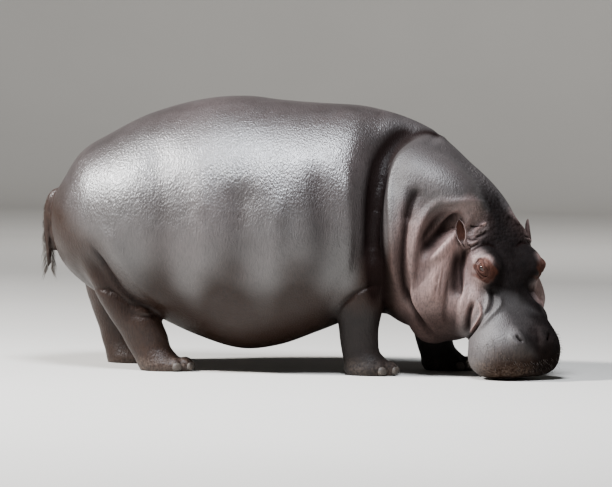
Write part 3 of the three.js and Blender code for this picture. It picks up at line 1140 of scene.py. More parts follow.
class Markings:
    """Where the skin is dark, from its own colour and from painted shade, or pink, muddy or pebbled.

    Each marking is a product of smooth steps whose limits are metres: along, across and up on the head, or x, y
    and z. The wander makes their edges uneven.
    """

    def __init__(self, canvas: Canvas) -> None:
        """Measures the vertices once for all of the markings.

        Args:
            canvas: the skin.
        """
        self.canvas = canvas
        self.points = canvas.vertices
        self.along, self.across, self.up = HEAD_FRAME.into(self.points).T
        self.wander = 0.03 * ripples(self.points, (0.25, 0.25, 0.25), SEED)
        self.side = np.abs(self.across) + self.wander
        # Painted shade over the muzzle but for its lit right flank.
        self.muzzle_shade = ramp(self.across + 0.35 * (self.up + 0.15) + self.wander, -0.10, 0.07)
        self.muzzle_shade = self.muzzle_shade * ramp(self.along, 0.35, 0.5)

    def cover(self, name: str, strength: Array) -> None:
        """Paints all of the skin with an attribute, where it isn't stronger already."""
        self.canvas.tint(name, np.arange(len(self.points)), strength)

    def face(self) -> None:
        """The dark forehead and nape, partly painted shade, the painted shade on the muzzle's shaded side, and
        the pink above the eyes.
        """
        along, across, up, wander = self.along, self.across, self.up, self.wander
        # The forehead's dark is the skin's own colour and painted shade together.
        narrow = 0.09 * ramp(along, 0.0, -0.15)
        top = ramp(self.side + narrow, 0.20, 0.12) * ramp(up + wander, -0.12, -0.05)
        # Past the eyes, the painted shade keeps to the left of the nose bridge.
        bridge = np.maximum(ramp(along, 0.45, 0.33), ramp(across + 0.5 * wander, -0.05, 0.02))
        forehead = top * ramp(along, -0.42, -0.12) * bridge
        cap = np.stack([along, self.side, up], 1) - np.array([0.195, 0.148, 0.015])
        cap = ramp(np.linalg.norm(cap / (1.0, 1.2, 1), axis=1), 0.055, 0.025)
        # A bare pink fold lies behind the right ear.
        right = self.points @ turned(CAMERA_AZIMUTH)[:, 0]
        bare = ramp(np.hypot(right - 0.905, self.points[:, 2] - 0.78), 0.08, 0.04) * ramp(across, 0, -0.05)
        self.cover("dark", np.maximum(forehead, self.muzzle_shade) * (1 - np.maximum(cap, bare)))
        self.cover("pink", cap * 0.8)

    def neck(self) -> None:
        """The pebbled nape, and the pink throat and skin round the ears."""
        along, side = self.along, self.side
        nape = ramp(side, 0.22, 0.12) * ramp(along, 0.16, 0.05) * ramp(along, -0.52, -0.30)
        self.cover("pebble", nape * ramp(self.up, -0.12, -0.05))
        throat = ramp(self.points[:, 0], 0.50, 0.62) * ramp(self.points[:, 2] + self.wander, 0.95, 0.75)
        self.cover("pink", throat * ramp(side, 0.12, 0.2) * ramp(along, 0.5, 0.35) * 0.6)
        self.cover("pink", 0.5 * ramp(np.abs(np.hypot(along + 0.02, side - 0.2)), 0.16, 0.05))

    def muzzle(self) -> None:
        """The muzzle's mud, and its brown front, which is painted shade as well."""
        muddy = ramp(self.along + self.wander, 0.56, 0.68) * ramp(self.up + self.wander, -0.02, -0.10)
        self.cover("mud", muddy * 0.28 * (1 - 0.8 * self.muzzle_shade))
        self.cover("belly", ramp(self.along + 0.5 * self.wander, 0.60, 0.72))

    def trunk(self) -> None:
        """Painted shade on the neck, the mud on the feet, the brown underside darkened as painted shade, the
        brown lower legs and the painted shadow on the forelegs.
        """
        x, z, wander = self.points[:, 0], self.points[:, 2], self.wander
        # Painted shade on the neck's rolls.
        self.cover("dark", ramp(x, 0.44, 0.5) * ramp(x + wander, 0.85, 0.62) * 0.4)
        self.cover("mud", ramp(z + wander, 0.09, 0.02) * 0.7)
        # The brown of the belly, darker as painted shade, ends in tongues, one beneath each upright fold of the
        # flank, as the shadow's edge does.
        tongues = 0.08 * np.cos(2 * math.pi * (x + 0.505) / 0.375) * ramp(x, -0.9, -0.6) * ramp(x, 0.5, 0.35)
        edge = 0.45 - tongues + np.maximum(0, x - 0.30) + 1.1 * np.maximum(0, -0.88 - x)
        self.cover("belly", ramp(z + 0.9 * wander, edge + 0.18, edge - 0.09) * ramp(x, 0.66, 0.5))
        # The lower legs are brown, darkened as painted shade.
        self.cover("belly", 0.8 * ramp(z, 0.36, 0.22) * ramp(np.abs(self.side), 0.2, 0.3) * ramp(x, 0.95, 0.85))
        # Painted shadow on the forelegs beneath the chest.
        self.cover("dark", 0.85 * ramp(z, 0.42, 0.28) * ramp(x, 0.1, 0.25) * ramp(x, 0.92, 0.84))


@dataclass
class Skin:
    """One skin over all of the flesh, with finer faces where it is folded.

    body: the flesh. strokes: the lines that are pressed into the skin or raised. sag: how deep the broad
    ripples of the flank are, and sag_size: how long they are along each axis.
    """

    body: Body
    strokes: Sequence[Stroke] = STROKES
    sag: float = 3 * MM
    sag_size: tuple[float, float, float] = (0.28, 0.5, 0.9)

    def rough(self) -> bpy.types.Mesh:
        """Joins the forms' own meshes with a voxel remesh."""
        vertices, faces, count = [], [], 0
        for form in self.body.forms:
            own, own_faces = form.surface()
            vertices.append(own)
            faces += [tuple(count + i for i in f) for f in own_faces]
            count += len(own)
        source = new_object("skin_source", build_mesh("skin_source", np.vstack(vertices), faces))
        remesh = source.modifiers.new("voxels", "REMESH")
        remesh.mode = "VOXEL"
        remesh.voxel_size = ROUGH_VOXEL
        evaluated = source.evaluated_get(bpy.context.evaluated_depsgraph_get())
        mesh = bpy.data.meshes.new_from_object(evaluated)
        bpy.data.objects.remove(source)
        return mesh

    def refine(self, mesh: bpy.types.Mesh, chosen: Array) -> None:
        """Halves some faces, and moves the new vertices onto the body.

        Args:
            mesh: the skin.
            chosen: whether each vertex is chosen; a face is halved if all of its vertices are.
        """
        bm = bmesh.new()
        bm.from_mesh(mesh)
        faces = [f for f in bm.faces if all(chosen[v.index] for v in f.verts)]
        edges = list({e for f in faces for e in f.edges})
        bmesh.ops.subdivide_edges(bm, edges=edges, cuts=1, use_grid_fill=True)
        bmesh.ops.triangulate(bm, faces=[f for f in bm.faces if len(f.verts) > 4])
        bm.to_mesh(mesh)
        bm.free()
        set_vertices(mesh, self.body.project(vertices_of(mesh), steps=2))

    def folded(self, points: Array) -> Array:
        """Finds the head, the folded neck and the feet.

        Args:
            points: rows of x, y and z.

        Returns:
            Whether each row lies there.
        """
        x, y, z = points.T
        along, across, _ = HEAD_FRAME.into(points).T
        head = (along > -0.30) & (x > 0.55) & (z > 0.02) & (across < 0.4)
        collar = (x > 0.27) & (x < 0.75) & (y < 0.05) & (z > 0.3)
        return head | collar | (z < 0.1)

    def face(self, points: Array) -> Array:
        """Finds the skin around the eyes and nostrils.

        Args:
            points: rows of x, y and z.

        Returns:
            Whether each row lies there.
        """
        along, across, up = HEAD_FRAME.into(points).T
        eyes = (np.abs(along - 0.235) < 0.10) & (up > -0.12)
        nose = (along > 0.55) & (up > -0.08)
        return (eyes | nose) & (np.abs(across) < 0.35)

    def eyes(self, points: Array) -> Array:
        """Finds the skin close around the eyes.

        Args:
            points: rows of x, y and z.

        Returns:
            Whether each row lies there.
        """
        away = [np.linalg.norm(eye_frame(hand).into(points), axis=1) for hand in (RIGHT, LEFT)]
        return np.min(away, axis=0) < 60 * MM

    def shape(self) -> bpy.types.Mesh:
        """The skin before it is folded: rough, moved onto the body, and finer where the details come."""
        mesh = self.rough()
        set_vertices(mesh, self.body.project(vertices_of(mesh)))
        self.refine(mesh, self.folded(vertices_of(mesh)))
        narrow = [stroke for stroke in self.strokes if stroke.width <= FINE_STROKE]
        fine = Canvas(mesh, self.body).beneath(narrow)
        self.refine(mesh, fine | self.face(vertices_of(mesh)))
        self.refine(mesh, self.eyes(vertices_of(mesh)))
        return mesh

    def draw(self, mesh: bpy.types.Mesh) -> None:
        """Folds and paints the skin.

        Args:
            mesh: the skin.
        """
        canvas = Canvas(mesh, self.body)
        for stroke in self.strokes:
            canvas.draw(stroke)
        Lids().draw(canvas)
        markings = Markings(canvas)
        markings.face()
        markings.neck()
        markings.muzzle()
        markings.trunk()
        x, _, z = canvas.vertices.T
        flank = ramp(z, 0.25, 0.45) * ramp(z, 1.25, 0.95) * ramp(x, 0.6, 0.3)
        canvas.rise += self.sag * flank * ripples(canvas.vertices, self.sag_size, SEED + 1)
        points = canvas.vertices + canvas.normals * canvas.rise[:, None]
        points[:, 2] = np.maximum(points[:, 2], 0)
        set_vertices(mesh, points)
        for name, values in canvas.tints.items():
            paint(mesh, name, np.clip(values, 0, 1))

    def build(self, hide: bpy.types.Material) -> bpy.types.Object:
        """Makes the skin.

        Args:
            hide: its material.

        Returns:
            The skin, in place of the trunk, neck, head, tail and legs.
        """
        mesh = self.shape()
        self.draw(mesh)
        mesh.polygons.foreach_set("use_smooth", [True] * len(mesh.polygons))
        skin = new_object("skin", mesh)
        skin.data.materials.append(hide)
        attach(skin, BODY)
        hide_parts("trunk", "neck", "head", "tail", *[leg.name for leg in LEGS])
        return skin


# ---- Ears, eyes and toenails -------------------------------------------------------------------------------


@dataclass(frozen=True)
class Ear:
    """A leaf-shaped cup on a short stalk.

    hand: the side of the head. length: from the root to the tip. lie: the way it points, and opening: the way
    it opens, both as along, out and up on the head. flatness: the cup's depth over its breadth. profile: how
    far up the ear each measure holds, the radius there in millimetres and the half angle that the cup wraps
    through.
    """

    hand: int
    length: float = 120 * MM
    thickness: float = 5 * MM
    flatness: float = 0.75
    lie: tuple[float, float, float] = (-0.91, 0.20, 0.35)
    opening: tuple[float, float, float] = (0.22, 0.85, 0.45)
    profile: tuple[tuple[float, float, float], ...] = (
        (-0.30, 16, 179),
        (0.02, 17, 160),
        (0.20, 23, 118),
        (0.48, 27, 96),
        (0.75, 23, 90),
        (0.92, 13, 86),
        (1.0, 3, 82),
    )

    rows: int = 40
    around: int = 33

    def axes(self) -> tuple[Array, Array, Array]:
        """The ways in which the ear lies, spreads and opens."""
        lie = HEAD_FRAME.columns @ (np.array(self.lie) * (1, self.hand, 1))
        lie = lie / np.linalg.norm(lie)
        opening = HEAD_FRAME.columns @ (np.array(self.opening) * (1, self.hand, 1))
        opening = opening - lie * (opening @ lie)
        opening = opening / np.linalg.norm(opening)
        return lie, np.cross(lie, opening), opening

    def layers(self, s: Array) -> Array:
        """Arcs of the cup's inner face, row after row, and then those of its outer face.

        Args:
            s: how far up the ear each row is.

        Returns:
            The vertices of both faces.
        """
        lie, across, opening = self.axes()
        at, radius, wrap = np.array(self.profile).T
        radius = np.interp(s, at, radius)[:, None] * MM
        wrap = np.radians(np.interp(s, at, wrap))[:, None]
        angle = np.linspace(-1, 1, self.around)[None, :] * wrap
        root = HEAD_FRAME.out_of(np.array([EAR_ROOTS[self.hand]]) * (1, self.hand, 1) * MM)[0]
        bend = np.where(s < 0, 0.45, 0.012) * s**2
        stem = root + lie * (s[:, None] * self.length) - opening * bend[:, None]
        layers = []
        for grow in (0.0, self.thickness):
            size = radius + grow - self.thickness * 0.5
            layers.append(stem[:, None, :] + (np.sin(angle) * size)[:, :, None] * across
                          - (np.cos(angle) * size * self.flatness)[:, :, None] * opening)
        return np.concatenate([layer.reshape(-1, 3) for layer in layers])

    def faces(self) -> list[tuple[int, ...]]:
        """Quads of the inner and outer faces, and of the rim that joins them."""
        rows, around = self.rows, self.around
        half = rows * around
        faces = []
        for row in range(rows - 1):
            for k in range(around - 1):
                i = row * around + k
                faces.append((i, i + 1, i + around + 1, i + around))
                faces.append((half + i, half + i + around, half + i + around + 1, half + i + 1))
        for row in range(rows - 1):
            for i, j in ((row * around, (row + 1) * around), ((row + 2) * around - 1, (row + 1) * around - 1)):
                faces.append((i, j, half + j, half + i))
        for k in range(around - 1):
            tip = (rows - 1) * around + k
            faces.append((tip, tip + 1, half + tip + 1, half + tip))
            faces.append((k + 1, k, half + k, half + k + 1))
        return faces

    def build(self, hide: bpy.types.Material) -> bpy.types.Object:
        """Makes the ear, red inside and dark outside, the left ear's outside darker still as painted shade.

        Args:
            hide: its material.

        Returns:
            The ear.
        """
        s = np.linspace(self.profile[0][0], self.profile[-1][0], self.rows)
        name = f"ear_{'right' if self.hand == RIGHT else 'left'}"
        mesh = build_mesh(f"{name}_skin", self.layers(s), self.faces())
        inner = np.repeat([1.0, 0.0], self.rows * self.around)
        inner = inner * np.tile(ramp(np.repeat(s, self.around), -0.1, 0.2), 2)
        rim = np.tile(np.abs(np.linspace(-1, 1, self.around)), self.rows * 2) > 0.9
        inner = inner * np.where(rim, 0.2, 1.0)
        paint(mesh, "pink", 0.5 * (1 - inner))
        # The outside is dark; on the left ear it is darker still as painted shade.
        paint(mesh, "dark", (1 - inner) * (0.35 if self.hand == RIGHT else 0.9))
        paint(mesh, "red", inner)
        ear = new_object(f"{name}_skin", mesh)
        soften = ear.modifiers.new("soft edge", "SUBSURF")
        soften.levels = soften.render_levels = 1
        ear.data.materials.append(hide)
        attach(ear, BODY)
        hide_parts(name)
        return ear


@dataclass(frozen=True)
class Eye:
    """An eyeball with a bulging cornea, facing out through the lids.

    hand: the side of the head. bulge: how far the cornea stands out, as a share of the radius, and cornea: the
    angle from the pupil within which it does, in radians.
    """

    hand: int
    radius: float = EYE_RADIUS * MM
    bulge: float = 0.06
    cornea: float = 0.42
    rows: int = 48
    around: int = 48

    def build(self, iris: bpy.types.Material) -> bpy.types.Object:
        """Makes the eyeball, and stores each vertex's angle from the pupil.

        Args:
            iris: its material.

        Returns:
            The eyeball.
        """
        polar, angle = sphere_grid(self.rows, self.around, 0.01)
        radius = self.radius * (1 + self.bulge * np.exp(-((polar / self.cornea) ** 4)))
        local = np.stack([
            radius * np.sin(polar) * np.cos(angle),
            radius * np.sin(polar) * np.sin(angle),
            radius * np.cos(polar) + 0 * angle,
        ], -1).reshape(-1, 3)
        name = f"eye_{'right' if self.hand == RIGHT else 'left'}"
        vertices = eye_frame(self.hand).out_of(local)
        mesh = build_mesh(f"{name}_ball", vertices, tube_faces(self.rows, self.around))
        paint(mesh, "from_pupil", np.repeat(polar[:, 0], self.around))
        eye = new_object(f"{name}_ball", mesh)
        eye.data.materials.append(iris)
        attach(eye, BODY)
        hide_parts(name)
        return eye


@dataclass(frozen=True)
class Nail:
    """A blunt hoof-like nail: a superellipsoid with growth rings, flat underneath.

    leg and number: its toe. bluntness: the power that squares off its sines and cosines. rings: how fast the
    growth rings follow each other, and ring_depth: their depth as a share. narrowing: how much shorter and
    narrower it is at the top.
    """

    leg: LegPlan
    number: int
    bluntness: float = 0.75
    rings: float = 16
    ring_depth: float = 0.018
    narrowing: tuple[float, float] = (0.18, 0.12)
    rows: int = 24
    around: int = 32

    def blunt(self, values: Array) -> Array:
        """Squares off a circle's sines or cosines."""
        return np.sign(values) * np.abs(values) ** self.bluntness

    def build(self, horn: bpy.types.Material) -> bpy.types.Object:
        """Makes the nail.

        Args:
            horn: its material.

        Returns:
            The nail.
        """
        bearing, reach, _ = TOES[self.number]
        polar, angle = sphere_grid(self.rows, self.around, 0.05)
        height = self.blunt(np.cos(polar)) + 0 * angle
        round_off = np.sin(polar) ** self.bluntness
        rings = 1 + self.ring_depth * np.sin(height * self.rings)
        shorter, narrower = self.narrowing
        local = np.stack([
            NAIL_LENGTH * round_off * self.blunt(np.cos(angle)) * rings * (1 - shorter * height),
            NAIL_BREADTH * round_off * self.blunt(np.sin(angle)) * (1 - narrower * height),
            NAIL_HEIGHT * height,
        ], -1).reshape(-1, 3) * MM
        vertices = toe_seat(self.leg, bearing, reach + NAIL_REACH, NAIL_RISE).out_of(local)
        vertices[:, 2] = np.maximum(vertices[:, 2], 0.5 * MM)
        name = f"{self.leg.name}_nail_{self.number + 1}"
        mesh = build_mesh(f"{name}_horn", vertices, tube_faces(self.rows, self.around))
        nail = new_object(f"{name}_horn", mesh)
        nail.data.materials.append(horn)
        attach(nail, BODY)
        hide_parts(name)
        return nail


# ---- Bristles ----------------------------------------------------------------------------------------------

@dataclass
class Bristles:
    """Short stiff hairs as thin bent spikes, each with its own small patch of the OFBake map.

    name: the piece's name. radius: a hair's at its root. droop: how far its tip hangs, as a share of the length.
    roots, ways, lengths and spots: one for each bristle, where a spot is its root's place on the unwrap. sides
    and segments: a hair's. patch: the side of its own patch of the map.
    """

    name: str
    radius: float
    droop: float
    roots: list[Array] = field(default_factory=list)
    ways: list[Array] = field(default_factory=list)
    lengths: list[float] = field(default_factory=list)
    spots: list[tuple[float, float]] = field(default_factory=list)
    sides: int = 3
    segments: int = 3
    patch: float = 0.003

    def grow(self, root: Array, way: Array, length: float) -> None:
        """Adds one bristle.

        Args:
            root: where it starts.
            way: the way it points.
            length: its length.
        """
        self.roots.append(root)
        self.ways.append(way / np.linalg.norm(way))
        self.lengths.append(length)
        self.spots.append(unwrap_spot(root))

    def rings(self, root: Array, way: Array, length: float) -> Array:
        """Thinning rings round a line that falls off with the square of the way along it, and then its tip.

        Args:
            root: where it starts.
            way: the way it points.
            length: its length.

        Returns:
            Rows of x, y and z.
        """
        across = np.cross(way, (0.3, 0.5, 0.8))
        across = across / np.linalg.norm(across)
        other = np.cross(way, across)
        fall = np.array([0, 0, self.droop * length])
        t = np.arange(self.segments)[:, None, None] / self.segments
        turn = 2 * math.pi * np.arange(self.sides)[None, :, None] / self.sides
        spoke = self.radius * (1 - 0.6 * t) * (across * np.cos(turn) + other * np.sin(turn))
        rings = root + way * length * t - fall * t * t + spoke
        return np.vstack([rings.reshape(-1, 3), root + way * length - fall])

    def faces(self) -> list[tuple[int, ...]]:
        """A bristle's faces: quads, then triangles to the tip, then the root's."""
        sides = self.sides
        last, tip = (self.segments - 1) * sides, self.segments * sides
        quads = [
            (ring * sides + k, ring * sides + (k + 1) % sides,
             (ring + 1) * sides + (k + 1) % sides, (ring + 1) * sides + k)
            for ring in range(self.segments - 1) for k in range(sides)
        ]
        point = [(last + k, last + (k + 1) % sides, tip) for k in range(sides)]
        return quads + point + [tuple(range(sides))[::-1]]

    def build(self, hair: bpy.types.Material) -> bpy.types.Object:
        """Joins all of the bristles into one mesh.

        Args:
            hair: its material.

        Returns:
            The bristles.
        """
        own = self.faces()
        corners = np.concatenate([
            ((0, 0), (1, 0), (1, 1), (0, 1)) if len(face) == 4 else ((0, 0), (1, 0), (0.5, 1)) for face in own
        ])
        hairs = [self.rings(*hair) for hair in zip(self.roots, self.ways, self.lengths)]
        firsts = range(0, sum(len(h) for h in hairs), len(hairs[0]))
        faces = [tuple(first + i for i in face) for first in firsts for face in own]
        uvs = [spot + self.patch * corners for spot in self.spots]
        mesh = build_mesh(self.name, np.vstack(hairs), faces)
        layer = mesh.uv_layers.new(name="OFBake")
        layer.data.foreach_set("uv", np.concatenate(uvs).astype(np.float32).ravel())
        coat = new_object(self.name, mesh)
        coat.data.materials.append(hair)
        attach(coat, BODY)
        return coat


def unwrap_spot(point: Array) -> tuple[float, float]:
    """A point's place on a cylinder unwrap of the head's or the trunk's own shape.

    Args:
        point: the point.

    Returns:
        Its place, from 0 to 1 each way.
    """
    if point[0] > 0.5:
        along, across, up = HEAD_FRAME.into(point[None])[0]
        return 0.5 + 0.49 * math.atan2(across, up + 0.2) / math.pi, 0.02 + 0.45 * (along + 0.5) / 1.5
    return 0.5 + 0.49 * math.atan2(point[1], point[2] - 0.7) / math.pi, 0.52 + 0.45 * (point[0] + 1.45) / 2


def grow_bristles(skin: bpy.types.Object, body: Body) -> list[Bristles]:
    """Grows bristles on the lips and the tail, from one row of random draws.

    Args:
        skin: the finished skin.
        body: the flesh beneath it.

    Returns:
        The muzzle's bristles and the tail's.
    """
    random = np.random.default_rng(SEED)
    points = vertices_of(skin.data)
    along, _, up = HEAD_FRAME.into(points).T
    lips = np.flatnonzero((along > 0.56) & (up < -0.06) & (up > -0.36) & (points[:, 2] > 0.04))
    chosen = random.choice(lips, size=260, replace=False)
    slope = body.gradient(points[chosen])
    muzzle = Bristles("muzzle_bristles", radius=0.8 * MM, droop=0.15)
    down = np.array([0, 0, -1.0])
    for root, normal in zip(points[chosen], slope):
        way = normal / np.linalg.norm(normal) + 0.5 * down + random.normal(0, 0.15, 3)
        muzzle.grow(root, way, random.uniform(8, 26) * MM)
    tail = Bristles("tail_bristles", radius=1.2 * MM, droop=0.35)
    shape = tail_form(0.0)
    for _ in range(300):
        t = random.uniform(0.1, 1.0) ** 0.7
        at = t * shape.at[-1]
        angle = random.choice((0.0, math.pi)) + random.normal(0, 0.35)
        middle, half, top = (
            shape.measure(values, np.array([at]))[0] for values in (shape.wide, shape.half, shape.top)
        )
        deep = abs(top - middle)
        root = np.array([middle + deep * math.cos(angle), half * math.sin(angle), TAIL_TOP * MM - at])
        way = np.array([0.7 * math.cos(angle), math.sin(angle), -1.2]) + random.normal(0, 0.12, 3)
        tail.grow(root, way, random.uniform(18, 45) * MM * (0.5 + t * t))
    return [muzzle, tail]


# ---- Materials ---------------------------------------------------------------------------------------------


# What an input of a node takes: a socket is linked, and any other value is set.
Value = bpy.types.NodeSocket | float | Sequence[float] | None
# Inputs in order, or by name or number.
Inputs = Sequence[Value] | dict[int | str, Value]


def linear(hex_colour: str) -> tuple[float, float, float, float]:
    """Turns an sRGB colour into a linear one.

    Args:
        hex_colour: a colour such as "7A6A5C".

    Returns:
        Linear red, green, blue and alpha.
    """
    parts = [int(hex_colour[i:i + 2], 16) / 255 for i in (0, 2, 4)]
    return (*[p / 12.92 if p <= 0.04045 else ((p + 0.055) / 1.055) ** 2.4 for p in parts], 1.0)


class Shader:
    """A node material under construction."""

    def __init__(self, name: str) -> None:
        """Starts a material.

        Args:
            name: its name.
        """
        self.material = bpy.data.materials.new(name)
        self.material.use_nodes = True
        self.tree = self.material.node_tree
        self.principled = self.tree.nodes["Principled BSDF"]

    def feed(self, socket: bpy.types.NodeSocket, value: Value) -> None:
        """Links a socket into an input, or sets the input's value.

        Args:
            socket: the input.
            value: a socket or a value.
        """
        if isinstance(value, bpy.types.NodeSocket):
            self.tree.links.new(value, socket)
        else:
            socket.default_value = value

    def add(self, kind: str, inputs: Inputs = (), output: int | str = 0,
            **settings: str) -> bpy.types.NodeSocket:
        """Adds a node with its settings and links.

        Args:
            kind: its Blender type, without ShaderNode.
            inputs: its first inputs in order, or its inputs by name or number.
            output: the name or number of the output that is wanted.
            settings: its own settings.

        Returns:
            That output.
        """
        node = self.tree.nodes.new(f"ShaderNode{kind}")
        for key, value in settings.items():
            setattr(node, key, value)
        for key, value in inputs.items() if isinstance(inputs, dict) else enumerate(inputs):
            self.feed(node.inputs[key], value)
        return node.outputs[output]

    def finish(self, colour: Value, roughness: Value, normal: Value = None,
               sheen: Value = 0.5) -> bpy.types.Material:
        """Sets the surface.

        Args:
            colour: its colour.
            roughness: its roughness.
            normal: its normal.
            sheen: how strongly it mirrors.

        Returns:
            The material.
        """
        self.feed(self.principled.inputs["Specular IOR Level"], sheen)
        self.feed(self.principled.inputs["Base Color"], colour)
        self.feed(self.principled.inputs["Roughness"], roughness)
        if normal is not None:
            self.feed(self.principled.inputs["Normal"], normal)
        return self.material


@dataclass(frozen=True)
class HideFinish:
    """Colours of the skin and of the shade painted on it, in sRGB."""

    grey: str = "2B2625"
    pale: str = "393231"
    belly: str = "24160E"
    dark: str = "0C0A0A"
    pink: str = "9E7C75"
    red: str = "3A221A"
    crease_shade: str = "120B0A"
    mud: str = "5E5148"

    def material(self) -> bpy.types.Material:
        """Bare hippopotamus skin: mottled grey, brown below with painted shade, pink in the folds, with painted
        shade in the creases, finely cracked.

        Patterns are told by how many of their lumps or cells there are to a metre, and bumps by their depth in
        metres: blotches of a hand's breadth, upright wrinkles of 9 mm, cracks of 8 mm and a grain of 3 mm.
        """
        shader = Shader("hippopotamus_hide")
        add = shader.add
        place = add("TexCoord", output="Object")
        axes = add("SeparateXYZ", (place,)).node.outputs
        painted = {
            name: add("Attribute", output="Fac", attribute_name=name)
            for name in ("belly", "pink", "dark", "red", "mud", "crease_shade", "pebble")
        }
        mottle = add("MapRange", (add("TexNoise", {"Vector": place, "Scale": 3.0, "Detail": 5}), 0.35, 0.65))
        colour = add("Mix", {0: mottle, 6: linear(self.grey), 7: linear(self.pale)}, 2, data_type="RGBA")
        patchy = add("MapRange", (add("TexNoise", {"Vector": place, "Scale": 22.0, "Detail": 4}), 0.3, 0.7))
        patchy = add("Math", (0.8, add("Math", (patchy, 0.2), operation="MULTIPLY")), operation="ADD")
        # Warm and dark parts, painted shade among them, are patchy at their edges.
        tones = {"belly": (self.belly, 1.0), "pink": (self.pink, 0.85), "dark": (self.dark, 0.95),
                 "red": (self.red, 0.9)}
        for name, (tone, most) in tones.items():
            share = add("Math", (painted[name], most), operation="MULTIPLY")
            share = add("Math", (share, patchy), operation="MULTIPLY")
            colour = add("Mix", {0: share, 6: colour, 7: linear(tone)}, 2, data_type="RGBA")
        # Dried mud clings in specks.
        specks = add("MapRange", (add("TexNoise", {"Vector": place, "Scale": 75.0, "Detail": 6}), 0.36, 0.66))
        mud = add("Math", (painted["mud"], specks), operation="MULTIPLY")
        share = add("Math", (mud, 0.8), operation="MULTIPLY")
        colour = add("Mix", {0: share, 6: colour, 7: linear(self.mud)}, 2, data_type="RGBA")
        # Painted shade: creases and the bottoms of the wrinkles are painted nearly black.
        crease_shade = add("Math", (painted["crease_shade"], 0.92), operation="MULTIPLY")
        colour = add("Mix", {0: crease_shade, 6: colour, 7: linear(self.crease_shade)}, 2, data_type="RGBA")
        upright = add("VectorMath", (place, (110, 110, 26)), operation="MULTIPLY")
        wrinkles = add("TexNoise", {"Vector": upright, "Scale": 1.0, "Detail": 4})
        share = add("Math", (add("MapRange", (wrinkles, 0.56, 0.36)), 0.4), operation="MULTIPLY")
        colour = add("Mix", {0: share, 6: colour, 7: linear(self.crease_shade)}, 2, data_type="RGBA")
        # Wrinkles, cracks, the nape's pebbles and a fine grain catch the light.
        upright = add("VectorMath", (place, (1, 1, 0.5)), operation="MULTIPLY")
        cracks = add("TexVoronoi", {"Vector": upright, "Scale": 130.0})
        pebbles = add("TexVoronoi", {"Vector": place, "Scale": 55.0})
        pebbles = add("Math", (pebbles, painted["pebble"]), operation="MULTIPLY")
        grain = add("TexNoise", {"Vector": place, "Scale": 300.0, "Detail": 3})
        normal = add("Bump", {"Height": wrinkles, "Distance": 0.0022, "Strength": 1.0})
        for height, depth in ((cracks, 0.0014), (pebbles, -0.007), (grain, 0.0007)):
            normal = add("Bump", {"Height": height, "Distance": depth, "Strength": 1.0, "Normal": normal})
        # The back is dry, the head is duller than the wet flank, and mud, dark skin and painted shade are duller
        # still;
        # creases, where shade is painted, lose nearly all their sheen.
        dry = add("Math", (add("MapRange", (axes["Z"], 1.0, 0.75)), 0.12), operation="MULTIPLY")
        uneven = add("TexNoise", {"Vector": place, "Scale": 14.0, "Detail": 4})
        matte = add("Math", (add("MapRange", (axes["X"], 0.42, 0.56)), 0.21), operation="MULTIPLY")
        rough = add("Math", (0.24, dry), operation="ADD")
        rough = add("Math", (rough, add("Math", (uneven, 0.2), operation="MULTIPLY")), operation="ADD")
        rough = add("Math", (rough, matte), operation="ADD")
        rough = add("Math", (rough, add("Math", (mud, 0.3), operation="MULTIPLY")), operation="ADD")
        shade = add("Math", (painted["dark"], 0.12), operation="MULTIPLY")
        rough = add("Math", (rough, shade), operation="ADD")
        dull = add("Math", (painted["belly"], painted["red"]), operation="MAXIMUM")
        dull = add("Math", (painted["dark"], dull), operation="MAXIMUM")
        sheen = add("Math", (1.0, add("Math", (dull, 0.75), operation="MULTIPLY")), operation="SUBTRACT")
        sheen = add("Math", (sheen, add("Math", (matte, 1.1), operation="MULTIPLY")), operation="SUBTRACT")
        open_skin = add("Math", (1.0, crease_shade), operation="SUBTRACT")
        sheen = add("Math", (sheen, open_skin), operation="MULTIPLY")
        return shader.finish(colour, rough, normal, sheen)


@dataclass(frozen=True)
class EyeFinish:
    """A wet dark eye with a brown iris; colours in sRGB."""

    pupil: str = "0E0908"
    iris: str = "33201A"
    white: str = "463530"

    def material(self) -> bpy.types.Material:
        """The pupil, the rayed iris and the dark white round it, by the angle from the pupil."""
        shader = Shader("wet_eye")
        add = shader.add
        place = add("TexCoord", output="Object")
        away = add("Attribute", output="Fac", attribute_name="from_pupil")
        rays = add("TexNoise", {"Vector": place, "Scale": 400.0, "Detail": 2})
        rays = add("Math", (away, add("Math", (rays, 0.2), operation="MULTIPLY")), operation="ADD")
        share = add("MapRange", (rays, 0.2, 0.6))
        colour = add("Mix", {0: share, 6: linear(self.pupil), 7: linear(self.iris)}, 2, data_type="RGBA")
        share = add("MapRange", (away, 0.62, 0.72))
        colour = add("Mix", {0: share, 6: colour, 7: linear(self.white)}, 2, data_type="RGBA")
        return shader.finish(colour, 0.08)


@dataclass(frozen=True)
class HornFinish:
    """Dry horn, dusted with mud; colours in sRGB."""

    horn: str = "2B2521"
    dust: str = "40372F"

    def material(self) -> bpy.types.Material:
        """Horn with a fine grain round the nail."""
        shader = Shader("toenail_horn")
        add = shader.add
        place = add("TexCoord", output="Object")
        dusty = add("MapRange", (add("TexNoise", {"Vector": place, "Scale": 45.0, "Detail": 5}), 0.35, 0.65))
        colour = add("Mix", {0: dusty, 6: linear(self.horn), 7: linear(self.dust)}, 2, data_type="RGBA")
        level = add("VectorMath", (place, (60, 60, 400)), operation="MULTIPLY")
        grain = add("TexNoise", {"Vector": level, "Scale": 1.0, "Detail": 3})
        normal = add("Bump", {"Height": grain, "Distance": 0.0012, "Strength": 1.0})
        return shader.finish(colour, 0.6, normal)


